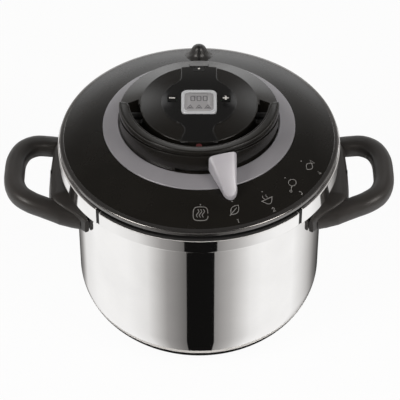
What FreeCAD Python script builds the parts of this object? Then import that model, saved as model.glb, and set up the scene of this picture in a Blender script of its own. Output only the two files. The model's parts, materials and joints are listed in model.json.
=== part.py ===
import FreeCAD, Part
import math
import os
import Sketcher

# A stovetop pressure cooker with a jaw-locked lid, in millimetres: +Z up, front at -Y, origin under the middle of the base.
# Heights named in FROM_RIM are counted from the pot rim, and radii named in FROM_WALL from the outside of the pot wall.

SIZES = (
    ("pot_radius", 111, "outside of the pot wall"),
    ("pot_wall", 1.2, "pot sheet"),
    ("corner_radius", 48, "large rounding at the foot of the wall"),
    ("foot_round", 20, "small rounding into the flat bottom"),
    ("corner_turn", 50, "degrees of the large rounding"),
    ("rim_height", 183, "top of the pot rim"),
    ("rim_reach", 8.5, "rim flange beyond the wall"),
    ("rim_drop", 7, "depth of the turned-down rim"),
    ("base_radius", -31, "heat-spreading base"),
    ("base_thickness", 6.5, "pot bottom above the stove"),
    ("base_skin", 1, "steel pan round the base core"),
    ("base_round", 3, "lower edge of the base"),
    ("handle_height", -32.5, "middle of the handle bar"),
    ("handle_bar", 18, "thickness of the handle bar"),
    ("handle_reach", 66, "outermost handle face"),
    ("handle_width", 95, "handle across its arms"),
    ("handle_end_round", 28, "outer corners of the handle"),
    ("handle_foot", 54, "half width of the handle foot on the pot"),
    ("handle_foot_low", -51, "lowest edge of the handle foot"),
    ("handle_gap_in", 21.5, "inner edge of the finger gap"),
    ("bracket_angle", 26, "bracket plate round the pot, degrees"),
    ("bracket_plate", 1.5, "bracket sheet"),
    ("bracket_half", 8, "half height of the bracket plate"),
    ("bracket_stud", 4, "bracket stud radius"),
    ("handle_screw", 2, "handle screw shank radius"),
    ("fit", 0.3, "gap between pieces that move past each other"),
    ("running_fit", 0.05, "gap of a shaft in its hole"),
    ("gasket_height", 3.8, "gasket between rim and lid"),
    ("lid_wall", 1.2, "lid sheet"),
    ("lid_dip", 4, "depth of the lid dish below its flange"),
    ("lid_dish_radius", -18, "flat middle of the lid dish"),
    ("lid_lip", 6, "depth of the turned-down lid edge"),
    ("band_radius", 14.6, "outside of the steel band"),
    ("band_low", -8.8, "lower edge of the steel band"),
    ("jaw_wall", 1.5, "jaw sheet"),
    ("jaw_half", 43.9, "half angle of a jaw, degrees"),
    ("jaw_hook", 11.6, "reach of the jaw lip under the rim"),
    ("jaw_travel", 10, "outward slide of each jaw"),
    ("skirt_wall", 1.2, "side skirt sheet"),
    ("skirt_half", 45.3, "half angle of a side skirt, degrees"),
    ("skirt_top", 8.8, "top of the side skirts"),
    ("cover_radius", 13, "edge of the lid cover"),
    ("cover_edge", 4.2, "height of the cover edge"),
    ("cover_low", 9.2, "underside of the cover edge"),
    ("cover_wall", 3, "cover thickness"),
    ("cover_round", 2.4, "rounded lip of the cover"),
    ("ring_outer", 85, "outside of the trim ring"),
    ("ring_inner", 70.8, "inside of the trim ring"),
    ("ring_low", 28, "outer edge height of the trim ring"),
    ("ring_high", 33.5, "inner edge height of the trim ring"),
    ("ring_wall", 2.2, "trim ring thickness"),
    ("flange_inner", 62, "inner edge of the cover flange"),
    ("hub_radius", 70.4, "outside of the hub wall"),
    ("hub_wall", 3.8, "hub wall thickness"),
    ("collar_low", 42, "outer edge of the rear collar"),
    ("dome_radius", 51.4, "edge of the dome"),
    ("dome_edge", 51, "height of the dome edge"),
    ("dome_top", 54, "middle of the dome"),
    ("channel_floor", 38, "floor of the finger channel"),
    ("floor_wall", 1, "channel floor thickness"),
    ("bail_inner", 61.5, "inside of the bail"),
    ("bail_outer", 70.2, "outside of the bail"),
    ("bail_top", 58, "top of the bail"),
    ("bail_dish", 2.2, "fall of the bail top towards its middle"),
    ("bail_low_end", 44, "bail underside at its ends"),
    ("bail_low_front", 53, "bail underside at the front"),
    ("bail_sweep", 176, "angle of the bail, degrees"),
    ("bail_round", 1.2, "bail edges"),
    ("ear_radius", 5.5, "bail ear round its pivot"),
    ("pivot_y", -8, "bail pivot from the middle"),
    ("pivot_z", 44, "bail pivot height"),
    ("pivot_radius", 3, "bail pivot shaft"),
    ("crank_throw", 5, "crank pin below and behind the pivot"),
    ("crank_pin", 2, "crank pin radius"),
    ("pocket_back", 7.5, "rear wall of the ear pockets"),
    ("carrier_wall", 3, "mechanism frame thickness"),
    ("leg_x", 48, "frame legs from the middle"),
    ("leg_y", 30, "frame legs from the middle"),
    ("leg_radius", 3.5, "frame legs"),
    ("stud_radius", 1.6, "studs welded to the lid"),
    ("arm_wall", 2, "jaw arm sheet"),
    ("arm_half", 12, "half width of a jaw arm"),
    ("rivet_inset", 18, "outer rivet inside the cover edge"),
    ("rivet_pitch", 8, "between the two rivets of an arm"),
    ("rocker_reach", 28, "rocker pin from the middle"),
    ("rocker_pin", 2.5, "rocker pin radius"),
    ("rocker_wall", 2.2, "rocker thickness"),
    ("selector_angle", 16.5, "lever from the front at rest, degrees"),
    ("lever_root", 25, "lever width at the hub"),
    ("lever_tip", 13, "lever width at its tip"),
    ("lever_reach", 98, "lever tip from the middle"),
    ("lever_top", 53.5, "lever height at the hub"),
    ("lever_tip_top", 28.5, "lever height at its tip"),
    ("timer_radius", 32.6, "round part of the timer"),
    ("timer_low", 42.3, "underside of the timer"),
    ("neck_back", 15.5, "half width of the rear neck"),
    ("neck_front", 12, "half width of the front neck"),
    ("neck_flare", 16.5, "half width of the front neck at its end"),
    ("neck_end", 50.4, "ends of both necks"),
    ("neck_blend", 12, "rounding between neck and round part"),
    ("neck_wall", 3, "depth of the necks"),
    ("bezel_half", 15.5, "half size of the display frame"),
    ("bezel_rim", 3, "width of the display frame"),
    ("button_x", 23.5, "buttons from the middle"),
    ("button_y", 4.5, "buttons behind the middle"),
    ("button_half", 4, "half size of a button"),
    ("latch_half", 8.5, "half width of the timer latch"),
    ("indicator_y", -57, "pressure indicator from the middle"),
    ("indicator_radius", 2.6, "pressure indicator pin"),
    ("indicator_top", 53, "pressure indicator at rest"),
    ("valve_radius", 10, "valve column"),
    ("valve_bore", 2.5, "steam bore"),
    ("safety_x", -34, "safety valve from the middle"),
    ("safety_y", 34, "safety valve from the middle"),
    ("pipe_radius", 4, "steam pipe"),
    ("pipe_z", 16.2, "steam pipe height"),
    ("outlet_y", -8, "steam outlet from the middle"),
)

doc = FreeCAD.newDocument("PressureCooker")
sheet = doc.addObject("Spreadsheet::Sheet", "Sizes")
for row, (alias, number, note) in enumerate(SIZES, start=1):
    sheet.set("A%d" % row, alias)
    sheet.set("B%d" % row, str(number))
    sheet.set("C%d" % row, note)
    sheet.setAlias("B%d" % row, alias)
doc.recompute()


class Size:
    """A length or angle: its number, and the expression on the sheet that gives it."""

    def __init__(self, value, text):
        self.value, self.text = value, text

    def _with(self, sign, other, value):
        return Size(value, "(%s %s %s)" % (self.text, sign, other.text))

    def __add__(self, other):
        other = size(other)
        return self._with("+", other, self.value + other.value)

    def __sub__(self, other):
        other = size(other)
        return self._with("-", other, self.value - other.value)

    def __mul__(self, other):
        other = size(other)
        return self._with("*", other, self.value * other.value)

    def __truediv__(self, other):
        other = size(other)
        return self._with("/", other, self.value / other.value)

    def __rsub__(self, other):
        return size(other) - self

    def __neg__(self):
        return Size(-self.value, "(0 - %s)" % self.text)

    __radd__, __rmul__ = __add__, __mul__


def size(item):
    return item if isinstance(item, Size) else Size(float(item), "(%s)" % item)


def cell(alias):
    return Size(float(sheet.get(alias)), "Sizes.%s" % alias)


def sin(angle):
    return Size(math.sin(math.radians(angle.value)), "sin(%s * 1deg)" % angle.text)


def cos(angle):
    return Size(math.cos(math.radians(angle.value)), "cos(%s * 1deg)" % angle.text)


def root(square):
    return Size(math.sqrt(square.value), "sqrt(%s)" % square.text)


FROM_RIM = ("handle_height", "handle_foot_low", "band_low", "skirt_top", "cover_low", "ring_low", "ring_high", "collar_low", "dome_edge",
            "dome_top", "channel_floor", "bail_top", "bail_low_end", "bail_low_front", "pivot_z", "lever_top", "lever_tip_top", "timer_low",
            "indicator_top", "pipe_z")
FROM_WALL = ("base_radius", "handle_reach", "handle_gap_in", "lid_dish_radius", "band_radius", "cover_radius", "outlet_y")
S = {alias: cell(alias) for alias, _, _ in SIZES}
for datum, aliases in (("rim_height", FROM_RIM), ("pot_radius", FROM_WALL)):
    S.update({alias: cell(datum) + cell(alias) for alias in aliases})
NODES = []


def bind(thing, prop, amount):
    thing.setExpression(prop, size(amount).text)


def node(thing, name):
    """Marks an object as one sub-part, written out under its label."""
    thing.Label = name
    NODES.append(thing)
    return thing


def body(name, x=None, y=None, turn=None):
    """A PartDesign body; x and y move it, turn rotates it about Z."""
    made = node(doc.addObject("PartDesign::Body", name), name)
    if x is not None:
        bind(made, "Placement.Base.x", x)
        bind(made, "Placement.Base.y", y)
    if turn is not None:
        made.Placement.Rotation = FreeCAD.Rotation(FreeCAD.Vector(0, 0, 1), turn.value)
        bind(made, "Placement.Rotation.Angle", turn)
    return made


def sketch(owner, plane, lift=None, turn=None):
    """An empty sketch on a plane of the body's origin, lifted along the plane's normal or turned about Z."""
    drawn = owner.newObject("Sketcher::SketchObject", owner.Name + "Sketch")
    drawn.AttachmentSupport = ([o for o in owner.Origin.OriginFeatures if o.Role == plane][0], [""])
    drawn.MapMode = "FlatFace"
    if turn is not None:
        drawn.AttachmentOffset = FreeCAD.Placement(FreeCAD.Vector(), FreeCAD.Rotation(FreeCAD.Vector(0, 1, 0), turn))
    if lift is not None:
        drawn.AttachmentOffset = FreeCAD.Placement(FreeCAD.Vector(0, 0, lift.value), FreeCAD.Rotation())
        bind(drawn, "AttachmentOffset.Base.z", lift)
    return drawn


def fix_point(drawn, edge, end, point):
    """Dimensions one corner from the origin; a plain 0 keeps it on the axis."""
    for kind, axis, amount in (("DistanceX", -2, point[0]), ("DistanceY", -1, point[1])):
        if not isinstance(amount, Size) and amount == 0:
            drawn.addConstraint(Sketcher.Constraint("PointOnObject", edge, end, axis))
            continue
        held = drawn.addConstraint(Sketcher.Constraint(kind, -1, 1, edge, end, size(amount).value))
        bind(drawn, "Constraints[%d]" % held, amount)


def outline(drawn, points, arcs=None, closed=True):
    """An outline through the points. arcs maps a corner to the radius of the arc that leaves it:
    a positive radius turns left, a negative one turns right."""
    arcs = arcs or {}
    first = drawn.GeometryCount
    flat = [FreeCAD.Vector(size(x).value, size(y).value, 0) for x, y in points]
    starts, ends = [], []
    for i in range(len(flat) if closed else len(flat) - 1):
        p, q = flat[i], flat[(i + 1) % len(flat)]
        if i not in arcs:
            drawn.addGeometry(Part.LineSegment(p, q))
            starts.append(1)
            ends.append(2)
            continue
        radius, left = abs(arcs[i].value), arcs[i].value > 0
        chord = q - p
        side = FreeCAD.Vector(-chord.y, chord.x, 0).normalize() * (1 if left else -1)
        centre = (p + q) * 0.5 + side * math.sqrt(max(radius ** 2 - (chord.Length / 2) ** 2, 0.0))
        a, b = (math.atan2(v.y - centre.y, v.x - centre.x) for v in ((p, q) if left else (q, p)))
        circle = Part.Circle(centre, FreeCAD.Vector(0, 0, 1), radius)
        drawn.addGeometry(Part.ArcOfCircle(circle, a, b if b > a else b + 2 * math.pi))
        starts.append(1 if left else 2)
        ends.append(2 if left else 1)
    count = len(starts)
    for i in range(count if closed else count - 1):
        j = (i + 1) % count
        drawn.addConstraint(Sketcher.Constraint("Coincident", first + i, ends[i], first + j, starts[j]))
    for i in range(count):
        fix_point(drawn, first + i, starts[i], points[i])
    if not closed:
        fix_point(drawn, first + count - 1, ends[-1], points[-1])
    for i, radius in arcs.items():
        held = drawn.addConstraint(Sketcher.Constraint("Radius", first + i, abs(radius.value)))
        bind(drawn, "Constraints[%d]" % held, radius if radius.value > 0 else -radius)


def rounds(drawn, centres, radius):
    """Circles of one radius at the given centres."""
    for x, y in centres:
        at = drawn.addGeometry(Part.Circle(FreeCAD.Vector(size(x).value, size(y).value, 0), FreeCAD.Vector(0, 0, 1), radius.value))
        fix_point(drawn, at, 3, (x, y))
        held = drawn.addConstraint(Sketcher.Constraint("Radius", at, radius.value))
        bind(drawn, "Constraints[%d]" % held, radius)


def finish(owner, feature):
    doc.recompute()
    if "Up-to-date" not in feature.State or feature.Shape.isNull():
        raise RuntimeError("%s of %s did not build: %s" % (feature.Name, owner.Label, feature.State))
    return feature


def spin(owner, points, arcs=None, cut=False, sweep=None, turn=None):
    """Turns a profile of radius and height about Z: all round, or over an angle centred on a heading from +X."""
    drawn = sketch(owner, "XZ_Plane", turn=turn)
    outline(drawn, points, arcs)
    made = owner.newObject("PartDesign::Groove" if cut else "PartDesign::Revolution", owner.Name + ("Groove" if cut else "Spin"))
    made.Profile = drawn
    made.ReferenceAxis = (drawn, ["V_Axis"])
    if sweep is None:
        made.Angle = 360
    else:
        made.Midplane = True
        bind(made, "Angle", sweep)
    return finish(owner, made)


def prism(owner, plane, low, high, points=None, arcs=None, cut=False, circles=None):
    """An outline, or circles, carried from low to high along the axis across the plane."""
    low, high = size(low), size(high)
    drawn = sketch(owner, plane, lift=-high if plane == "XZ_Plane" else low)
    if points:
        outline(drawn, points, arcs)
    for centres, radius in circles or ():
        rounds(drawn, centres, radius)
    made = owner.newObject("PartDesign::Pocket" if cut else "PartDesign::Pad", owner.Name + ("Cut" if cut else "Pad"))
    made.Profile = drawn
    bind(made, "Length", high - low)
    if cut:
        made.Reversed = True
    return finish(owner, made)


def swept(owner, path, arcs, height, radius):
    """A round bar carried along a path of points at one height; the path starts along X."""
    spine = sketch(owner, "XY_Plane", lift=height)
    outline(spine, path, arcs, closed=False)
    section = sketch(owner, "YZ_Plane", lift=path[0][0])
    rounds(section, [(path[0][1], height)], radius)
    made = owner.newObject("PartDesign::AdditivePipe", owner.Name + "Bar")
    made.Profile = section
    made.Spine = (spine, ["Edge%d" % (i + 1) for i in range(len(path) - 1)])
    return finish(owner, made)


def box_points(x_low, x_high, y_low, y_high):
    return [(x_low, y_low), (x_high, y_low), (x_high, y_high), (x_low, y_high)]


def fillet(owner, radius, chosen):
    """Rounds the edges of the newest feature that chosen() picks."""
    tip = owner.Tip
    names = ["Edge%d" % (i + 1) for i, edge in enumerate(tip.Shape.Edges) if chosen(edge)]
    made = owner.newObject("PartDesign::Fillet", owner.Name + "Fillet")
    made.Base = (tip, names)
    bind(made, "Radius", radius)
    return finish(owner, made)


def on_ring(radius, height):
    """Picks edges that run round Z at one radius and height."""
    def chosen(edge):
        spots = [edge.valueAt(edge.FirstParameter + (edge.LastParameter - edge.FirstParameter) * t) for t in (0.1, 0.5, 0.9)]
        return all(abs(math.hypot(v.x, v.y) - radius.value) < 0.02 and abs(v.z - height.value) < 0.02 for v in spots)
    return chosen


def rod(name, radius, length, x=0, y=0, z=0, axis=None):
    """A Part cylinder standing on a point, along +Z or along axis."""
    made = doc.addObject("Part::Cylinder", name)
    bind(made, "Radius", radius)
    bind(made, "Height", length)
    if axis:
        made.Placement.Rotation = FreeCAD.Rotation(FreeCAD.Vector(0, 0, 1), FreeCAD.Vector(*axis))
    for letter, amount in zip("xyz", (x, y, z)):
        bind(made, "Placement.Base." + letter, amount)
    return made


def joined(name, pieces):
    made = doc.addObject("Part::MultiFuse", name)
    made.Shapes = pieces
    return made


def minus(name, base, tool):
    made = doc.addObject("Part::Cut", name)
    made.Base, made.Tool = base, tool
    return made


def group(name, pieces):
    """Identical pieces that share one file as separate solids."""
    made = doc.addObject("Part::Compound", name)
    made.Links = pieces
    return node(made, name)


def coil(name, radius, wire, low, high, turns, x=0, y=0):
    """A helical spring standing between two heights, measured to the wire's middle."""
    path = doc.addObject("Part::Helix", name + "Path")
    bind(path, "Radius", radius)
    bind(path, "Height", high - low)
    bind(path, "Pitch", (high - low) / turns)
    section = doc.addObject("Part::Circle", name + "Wire")
    bind(section, "Radius", wire)
    section.Placement.Rotation = FreeCAD.Rotation(FreeCAD.Vector(1, 0, 0), 90)
    bind(section, "Placement.Base.x", radius)
    made = doc.addObject("Part::Sweep", name)
    made.Sections = [section]
    made.Spine = (path, [])
    made.Solid, made.Frenet = True, True
    for letter, amount in zip("xyz", (x, y, low)):
        bind(made, "Placement.Base." + letter, amount)
    return node(made, name)


# Pot

R, WALL = S["pot_radius"], S["pot_wall"]
rim_radius = R + S["rim_reach"]
rim_low = S["rim_height"] - S["rim_drop"]
foot_x = R - S["corner_radius"] + (S["corner_radius"] - S["foot_round"]) * cos(S["corner_turn"])
foot_z = S["base_thickness"] + S["foot_round"]
wall_z = foot_z + (S["corner_radius"] - S["foot_round"]) * sin(S["corner_turn"])


def foot_joint(radius):
    return (foot_x + radius * cos(S["corner_turn"]), foot_z - radius * sin(S["corner_turn"]))


pot = body("pot_shell")
spin(pot, [(0, S["base_thickness"]), (foot_x, S["base_thickness"]), foot_joint(S["foot_round"]), (R, wall_z),
           (R, S["rim_height"] - WALL), (rim_radius - WALL, S["rim_height"] - WALL), (rim_radius - WALL, rim_low),
           (rim_radius, rim_low), (rim_radius, S["rim_height"]), (R - WALL, S["rim_height"]), (R - WALL, wall_z),
           foot_joint(S["foot_round"] - WALL), (foot_x, S["base_thickness"] + WALL), (0, S["base_thickness"] + WALL)],
     arcs={1: S["foot_round"], 2: S["corner_radius"], 10: -(S["corner_radius"] - WALL), 11: -(S["foot_round"] - WALL)})
fillet(pot, WALL * 0.9, on_ring(rim_radius, S["rim_height"]))

skin, curve = S["base_skin"], S["base_round"]
spin(body("base_cap"), [(0, 0), (S["base_radius"] - curve, 0), (S["base_radius"], curve), (S["base_radius"], S["base_thickness"]),
                        (S["base_radius"] - skin, S["base_thickness"]), (S["base_radius"] - skin, curve),
                        (S["base_radius"] - curve, skin), (0, skin)],
     arcs={1: curve, 5: -(curve - skin)})
spin(body("base_core"), [(0, skin), (S["base_radius"] - curve, skin), (S["base_radius"] - curve, S["base_thickness"]),
                         (0, S["base_thickness"])])


# Handles

bar = S["handle_bar"]
bar_low, bar_high = S["handle_height"] - bar / 2, S["handle_height"] + bar / 2
reach, half = S["handle_reach"], S["handle_width"] / 2
seat = R + S["fit"]
plate_high = R + 0.05 + S["bracket_plate"]
stud_end = R + 13
screws = []
for side, name in ((-1, "left"), (1, "right")):
    grip = body(name + "_handle")
    foot = root(seat * seat - S["handle_foot"] * S["handle_foot"])
    prism(grip, "XY_Plane", S["handle_foot_low"], bar_high + 0.6,
          [(foot * side, -S["handle_foot"]), ((foot + 7) * side, -S["handle_foot"]), (S["handle_gap_in"] * side, 1.5 - half),
           (S["handle_gap_in"] * side, half - 1.5), ((foot + 7) * side, S["handle_foot"]), (foot * side, S["handle_foot"])],
          arcs={5: -(seat * side)})
    prism(grip, "XZ_Plane", -S["handle_foot"] - 1, S["handle_foot"] + 1,
          [((R + 3) * side, S["handle_foot_low"] - 2), ((reach + 5) * side, S["handle_foot_low"] - 2),
           ((reach + 5) * side, bar_low + 0.6), (S["handle_gap_in"] * side, bar_low + 0.6), ((R + 3) * side, S["handle_foot_low"])], cut=True)
    arm_y, end_x, bend = half - bar / 2, reach - bar / 2, S["handle_end_round"] - bar / 2
    swept(grip, [((R + 8) * side, -arm_y), ((end_x - bend) * side, -arm_y), (end_x * side, bend - arm_y), (end_x * side, arm_y - bend),
                 ((end_x - bend) * side, arm_y), ((R + 8) * side, arm_y)], {1: bend * side, 3: bend * side}, S["handle_height"], bar / 2)
    heading = 0 if side > 0 else 180
    spin(grip, [(R - 2, S["handle_height"] - S["bracket_half"] - 0.5), (plate_high + 0.3, S["handle_height"] - S["bracket_half"] - 0.5),
                (plate_high + 0.3, S["handle_height"] + S["bracket_half"] + 0.5), (R - 2, S["handle_height"] + S["bracket_half"] + 0.5)],
         cut=True, sweep=S["bracket_angle"] + 1, turn=heading)
    low, high = ((R, stud_end + 0.2) if side > 0 else (-stud_end - 0.2, -R))
    prism(grip, "YZ_Plane", low, high, circles=[([(0, S["handle_height"])], S["bracket_stud"] + 0.15)], cut=True)
    low, high = ((R, S["handle_gap_in"] + 2) if side > 0 else (-S["handle_gap_in"] - 2, -R))
    prism(grip, "YZ_Plane", low, high, circles=[([(0, S["handle_height"])], S["handle_screw"] + 0.15)], cut=True)

    bracket = body(name + "_handle_bracket")
    spin(bracket, [(R + 0.05, S["handle_height"] - S["bracket_half"]), (plate_high, S["handle_height"] - S["bracket_half"]),
                   (plate_high, S["handle_height"] + S["bracket_half"]), (R + 0.05, S["handle_height"] + S["bracket_half"])],
         sweep=S["bracket_angle"], turn=heading)
    low, high = ((R + 1, stud_end) if side > 0 else (-stud_end, -R - 1))
    prism(bracket, "YZ_Plane", low, high, circles=[([(0, S["handle_height"])], S["bracket_stud"])])
    low, high = ((R + 4, stud_end + 1) if side > 0 else (-stud_end - 1, -R - 4))
    prism(bracket, "YZ_Plane", low, high, circles=[([(0, S["handle_height"])], S["handle_screw"] + S["running_fit"])], cut=True)
    shank = rod(name + "_screw_shank", S["handle_screw"], S["handle_gap_in"] - R - 6, (R + 6) * side, 0, S["handle_height"], (side, 0, 0))
    head = rod(name + "_screw_head", S["handle_screw"] * 2, 1.6, S["handle_gap_in"] * side, 0, S["handle_height"], (side, 0, 0))
    screws.append(joined(name + "_screw", [shank, head]))
group("handle_screws", screws)


# Lid sheet, gasket and band

flange_low = S["rim_height"] + 0.2 + S["gasket_height"]
flange_top = flange_low + S["lid_wall"]
lid_low, lid_top = flange_low - S["lid_dip"], flange_top - S["lid_dip"]
lip_in = rim_radius + 0.7
lip_out = lip_in + S["lid_wall"]
valve_hole = S["valve_radius"] - 2.3
bush_hole = S["indicator_radius"] + 1.9
safety_hole = size(5.2)

dish = body("lid_dish")
spin(dish, [(valve_hole, lid_low), (S["lid_dish_radius"], lid_low), (S["lid_dish_radius"] + 6, flange_low), (lip_in, flange_low),
            (lip_in, flange_top - S["lid_lip"]), (lip_out, flange_top - S["lid_lip"]), (lip_out, flange_top),
            (S["lid_dish_radius"] + 5.6, flange_top), (S["lid_dish_radius"] - 0.4, lid_top), (valve_hole, lid_top)])
prism(dish, "XY_Plane", lid_low - 1, lid_top + 1, circles=[([(0, S["indicator_y"])], bush_hole), ([(S["safety_x"], S["safety_y"])], safety_hole)], cut=True)

spin(body("gasket"), [(R - 6, S["rim_height"] - 5), (R - 3.5, S["rim_height"] - 7), (R - 2.2, S["rim_height"] - 6),
                      (R - 2.2, S["rim_height"] + 0.2), (rim_radius - 0.3, S["rim_height"] + 0.2), (rim_radius - 0.3, flange_low),
                      (R - 6, flange_low)])

band, jw, sw = S["band_radius"], S["jaw_wall"], S["skirt_wall"]
for heading, name in ((180, "left_skirt"), (0, "right_skirt")):
    skirt = body(name)
    spin(skirt, [(R - 5, flange_top), (R + 6, flange_top), (R + 6, S["skirt_top"] - sw), (band - sw, S["skirt_top"] - sw),
                 (band - sw, S["band_low"]), (band, S["band_low"]), (band, S["skirt_top"]), (R + 4.8, S["skirt_top"]),
                 (R + 4.8, flange_top + sw), (R - 5, flange_top + sw)],
         sweep=S["skirt_half"] * 2, turn=heading)
    fillet(skirt, sw * 0.9, on_ring(band, S["skirt_top"]))


# Jaws and the arms that move them

jaw_flange = flange_top + 0.4
jaw_top = jaw_flange + jw
arm_low, arm_top = jaw_top, jaw_top + S["arm_wall"]
pin_y = S["pivot_y"] + S["crank_throw"]
pin_z = S["pivot_z"] - S["crank_throw"]
rest = S["jaw_travel"] / 2
slot_x, slot_y = S["rocker_pin"] + 0.8, S["rocker_pin"] + S["fit"]
rocker_x = root(S["rocker_reach"] * S["rocker_reach"] - rest * rest)
lug_in, lug_out = size(37.5), size(41.5)
rivet_far = S["cover_radius"] - S["rivet_inset"]
tongue_in = rivet_far - S["rivet_pitch"] - 4


def rivet_pair(name, y_near, y_far):
    pins = []
    for i, y in enumerate((y_near, y_far)):
        shank = rod("%s_shank_%d" % (name, i), 2, arm_top - jaw_flange, 0, y, jaw_flange)
        head = rod("%s_head_%d" % (name, i), 3.5, 1.2, 0, y, arm_top)
        pins.append(joined("%s_%d" % (name, i), [shank, head]))
    return group(name, pins)


for side, name in ((-1, "front"), (1, "rear")):
    jaw = body(name + "_jaw")
    hook = band - S["jaw_hook"]
    spin(jaw, [(R + 1, jaw_flange), (band - jw, jaw_flange), (band - jw, S["band_low"] + jw), (hook, S["band_low"] + jw),
               (hook, S["band_low"]), (band, S["band_low"]), (band, jaw_top), (R + 1, jaw_top)],
         sweep=S["jaw_half"] * 2, turn=90 * side)
    prism(jaw, "XY_Plane", jaw_flange, jaw_top,
          box_points(-S["arm_half"] - 3, S["arm_half"] + 3, tongue_in * side, (R + 2) * side) if side > 0 else
          box_points(-S["arm_half"] - 3, S["arm_half"] + 3, -(R + 2), -tongue_in))
    fillet(jaw, jw * 1.4, on_ring(band, jaw_top))
    fillet(jaw, jw * 1.4, on_ring(band, S["band_low"]))
    near, far = (rivet_far - S["rivet_pitch"]) * side, rivet_far * side
    prism(jaw, "XY_Plane", jaw_flange - 1, jaw_top + 1, circles=[([(0, near), (0, far)], size(2) + S["running_fit"])], cut=True)

    arm = body(name + "_arm")
    w, tip = S["arm_half"], rivet_far + 6.5
    if side < 0:
        prism(arm, "XY_Plane", arm_low, arm_top,
              [(-w, -tip), (w, -tip), (w, size(-48)), (lug_out + 1.5, size(-48)), (lug_out + 1.5, pin_y + 6), (lug_in - 2.5, pin_y + 6),
               (lug_in - 2.5, size(-34)), (-size(22), size(-34)), (-size(22), rest + 7), (-lug_out - 1.5, rest + 7),
               (-lug_out - 1.5, size(-48)), (-w, size(-48))])
        for x_low, x_high in ((lug_in, lug_out), (-lug_out, -lug_in)):
            prism(arm, "XY_Plane", arm_top, S["pivot_z"], box_points(x_low, x_high, pin_y - 6, pin_y + 6))
        prism(arm, "YZ_Plane", -lug_out - 2, lug_out + 2,
              box_points(pin_y - S["crank_pin"] - S["fit"], pin_y + S["crank_pin"] + S["fit"], pin_z - 5, S["pivot_z"] + 2), cut=True)
        wide = S["indicator_radius"] + 1.4
        prism(arm, "XY_Plane", arm_low - 1, arm_top + 1,
              box_points(-wide, wide, S["indicator_y"] - wide, S["indicator_y"] + S["jaw_travel"] + wide), cut=True)
        middle = -rocker_x
        prism(arm, "XY_Plane", arm_low - 1, arm_top + 1, box_points(middle - slot_x, middle + slot_x, rest - slot_y, rest + slot_y), cut=True)
    else:
        prism(arm, "XY_Plane", arm_low, arm_top,
              [(w, tip), (-w, tip), (-w, size(34)), (size(18), size(34)), (size(18), -rest - 7), (lug_in - 4, -rest - 7), (lug_in - 4, size(48)), (w, size(48))])
        prism(arm, "XY_Plane", arm_low - 1, arm_top + 1,
              box_points(rocker_x - slot_x, rocker_x + slot_x, -rest - slot_y, -rest + slot_y), cut=True)
    prism(arm, "XY_Plane", arm_low - 1, arm_top + 1, circles=[([(0, near), (0, far)], size(2) + S["running_fit"])], cut=True)
    rivet_pair(name + "_rivets", near, far)

rocker_low = arm_top + 0.4
rocker = body("rocker_plate")
prism(rocker, "XY_Plane", rocker_low, rocker_low + S["rocker_wall"],
      [(-rocker_x - 4.5, rest - 4), (-rocker_x + 1, rest - 6), (size(9), size(-15)), (rocker_x + 1, -rest - 6), (rocker_x + 4.5, -rest - 2),
       (rocker_x + 4.5, -rest + 4), (rocker_x - 1, -rest + 6), (size(-9), size(15)), (-rocker_x - 1, rest + 6), (-rocker_x - 4.5, rest + 2)])
prism(rocker, "XY_Plane", arm_low - 0.6, rocker_low + S["rocker_wall"] / 2,
      circles=[([(-rocker_x, rest), (rocker_x, -rest)], S["rocker_pin"])])
prism(rocker, "XY_Plane", rocker_low - 1, rocker_low + S["rocker_wall"] + 1, circles=[([(0, 0)], S["valve_radius"] + S["running_fit"])], cut=True)

guides = []
for side, name in ((-1, "front"), (1, "rear")):
    gate = doc.addObject("Part::Box", name + "_gate")
    gap = doc.addObject("Part::Box", name + "_gate_gap")
    deep, wide = size(8), S["arm_half"] + 0.4
    for block, reach_x, low, high in ((gate, wide + 2, lid_top, arm_top + 2.4), (gap, wide, lid_top - 1, arm_top + 0.4)):
        bind(block, "Length", reach_x * 2)
        bind(block, "Width", deep if block is gate else deep + 2)
        bind(block, "Height", high - low)
        for letter, amount in zip("xyz", (-reach_x, size(74 * side) - (deep if block is gate else deep + 2) / 2, low)):
            bind(block, "Placement.Base." + letter, amount)
    guides.append(minus(name + "_guide", gate, gap))
group("jaw_guides", guides)


# Cover and trim ring

ring_fall = (S["ring_high"] - S["ring_low"]) / (S["ring_outer"] - S["ring_inner"])
seat_low, seat_high = S["ring_low"] - S["ring_wall"], S["ring_high"] - S["ring_wall"]
flange_z = seat_high - S["cover_wall"]
shoulder = S["cover_low"] + S["cover_edge"]
recess = S["ring_outer"] + 0.3
screw_spots = [(size(68 * math.cos(math.radians(a))), size(68 * math.sin(math.radians(a)))) for a in (50, 130, 215)]

cover = body("lid_cover")
spin(cover, [(S["cover_radius"] - 3.5, S["cover_low"]), (S["cover_radius"], S["cover_low"]), (S["cover_radius"], shoulder),
             (recess, S["ring_low"] - 0.4), (recess, seat_low - 0.1), (S["ring_inner"] - 0.1, seat_high), (S["flange_inner"], seat_high),
             (S["flange_inner"], flange_z), (S["ring_inner"] - 1.6, flange_z), (recess, seat_low - 3.2), (S["cover_radius"] - 3.5, shoulder - 2.8)])
fillet(cover, S["cover_round"], on_ring(S["cover_radius"], shoulder))
prism(cover, "XY_Plane", S["cover_low"] - 2.2, S["ring_high"] - 1.5, box_points(size(-5.5), size(5.5), S["outlet_y"] - 10, S["outlet_y"] + 4), cut=True)
prism(cover, "XY_Plane", flange_z - 1, seat_high + 1, circles=[(screw_spots, size(1.4))], cut=True)

spin(body("trim_ring"), [(S["ring_inner"], seat_high + 0.1), (S["ring_outer"], seat_low + 0.1), (S["ring_outer"], S["ring_low"]), (S["ring_inner"], S["ring_high"])])


# Hub

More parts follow.
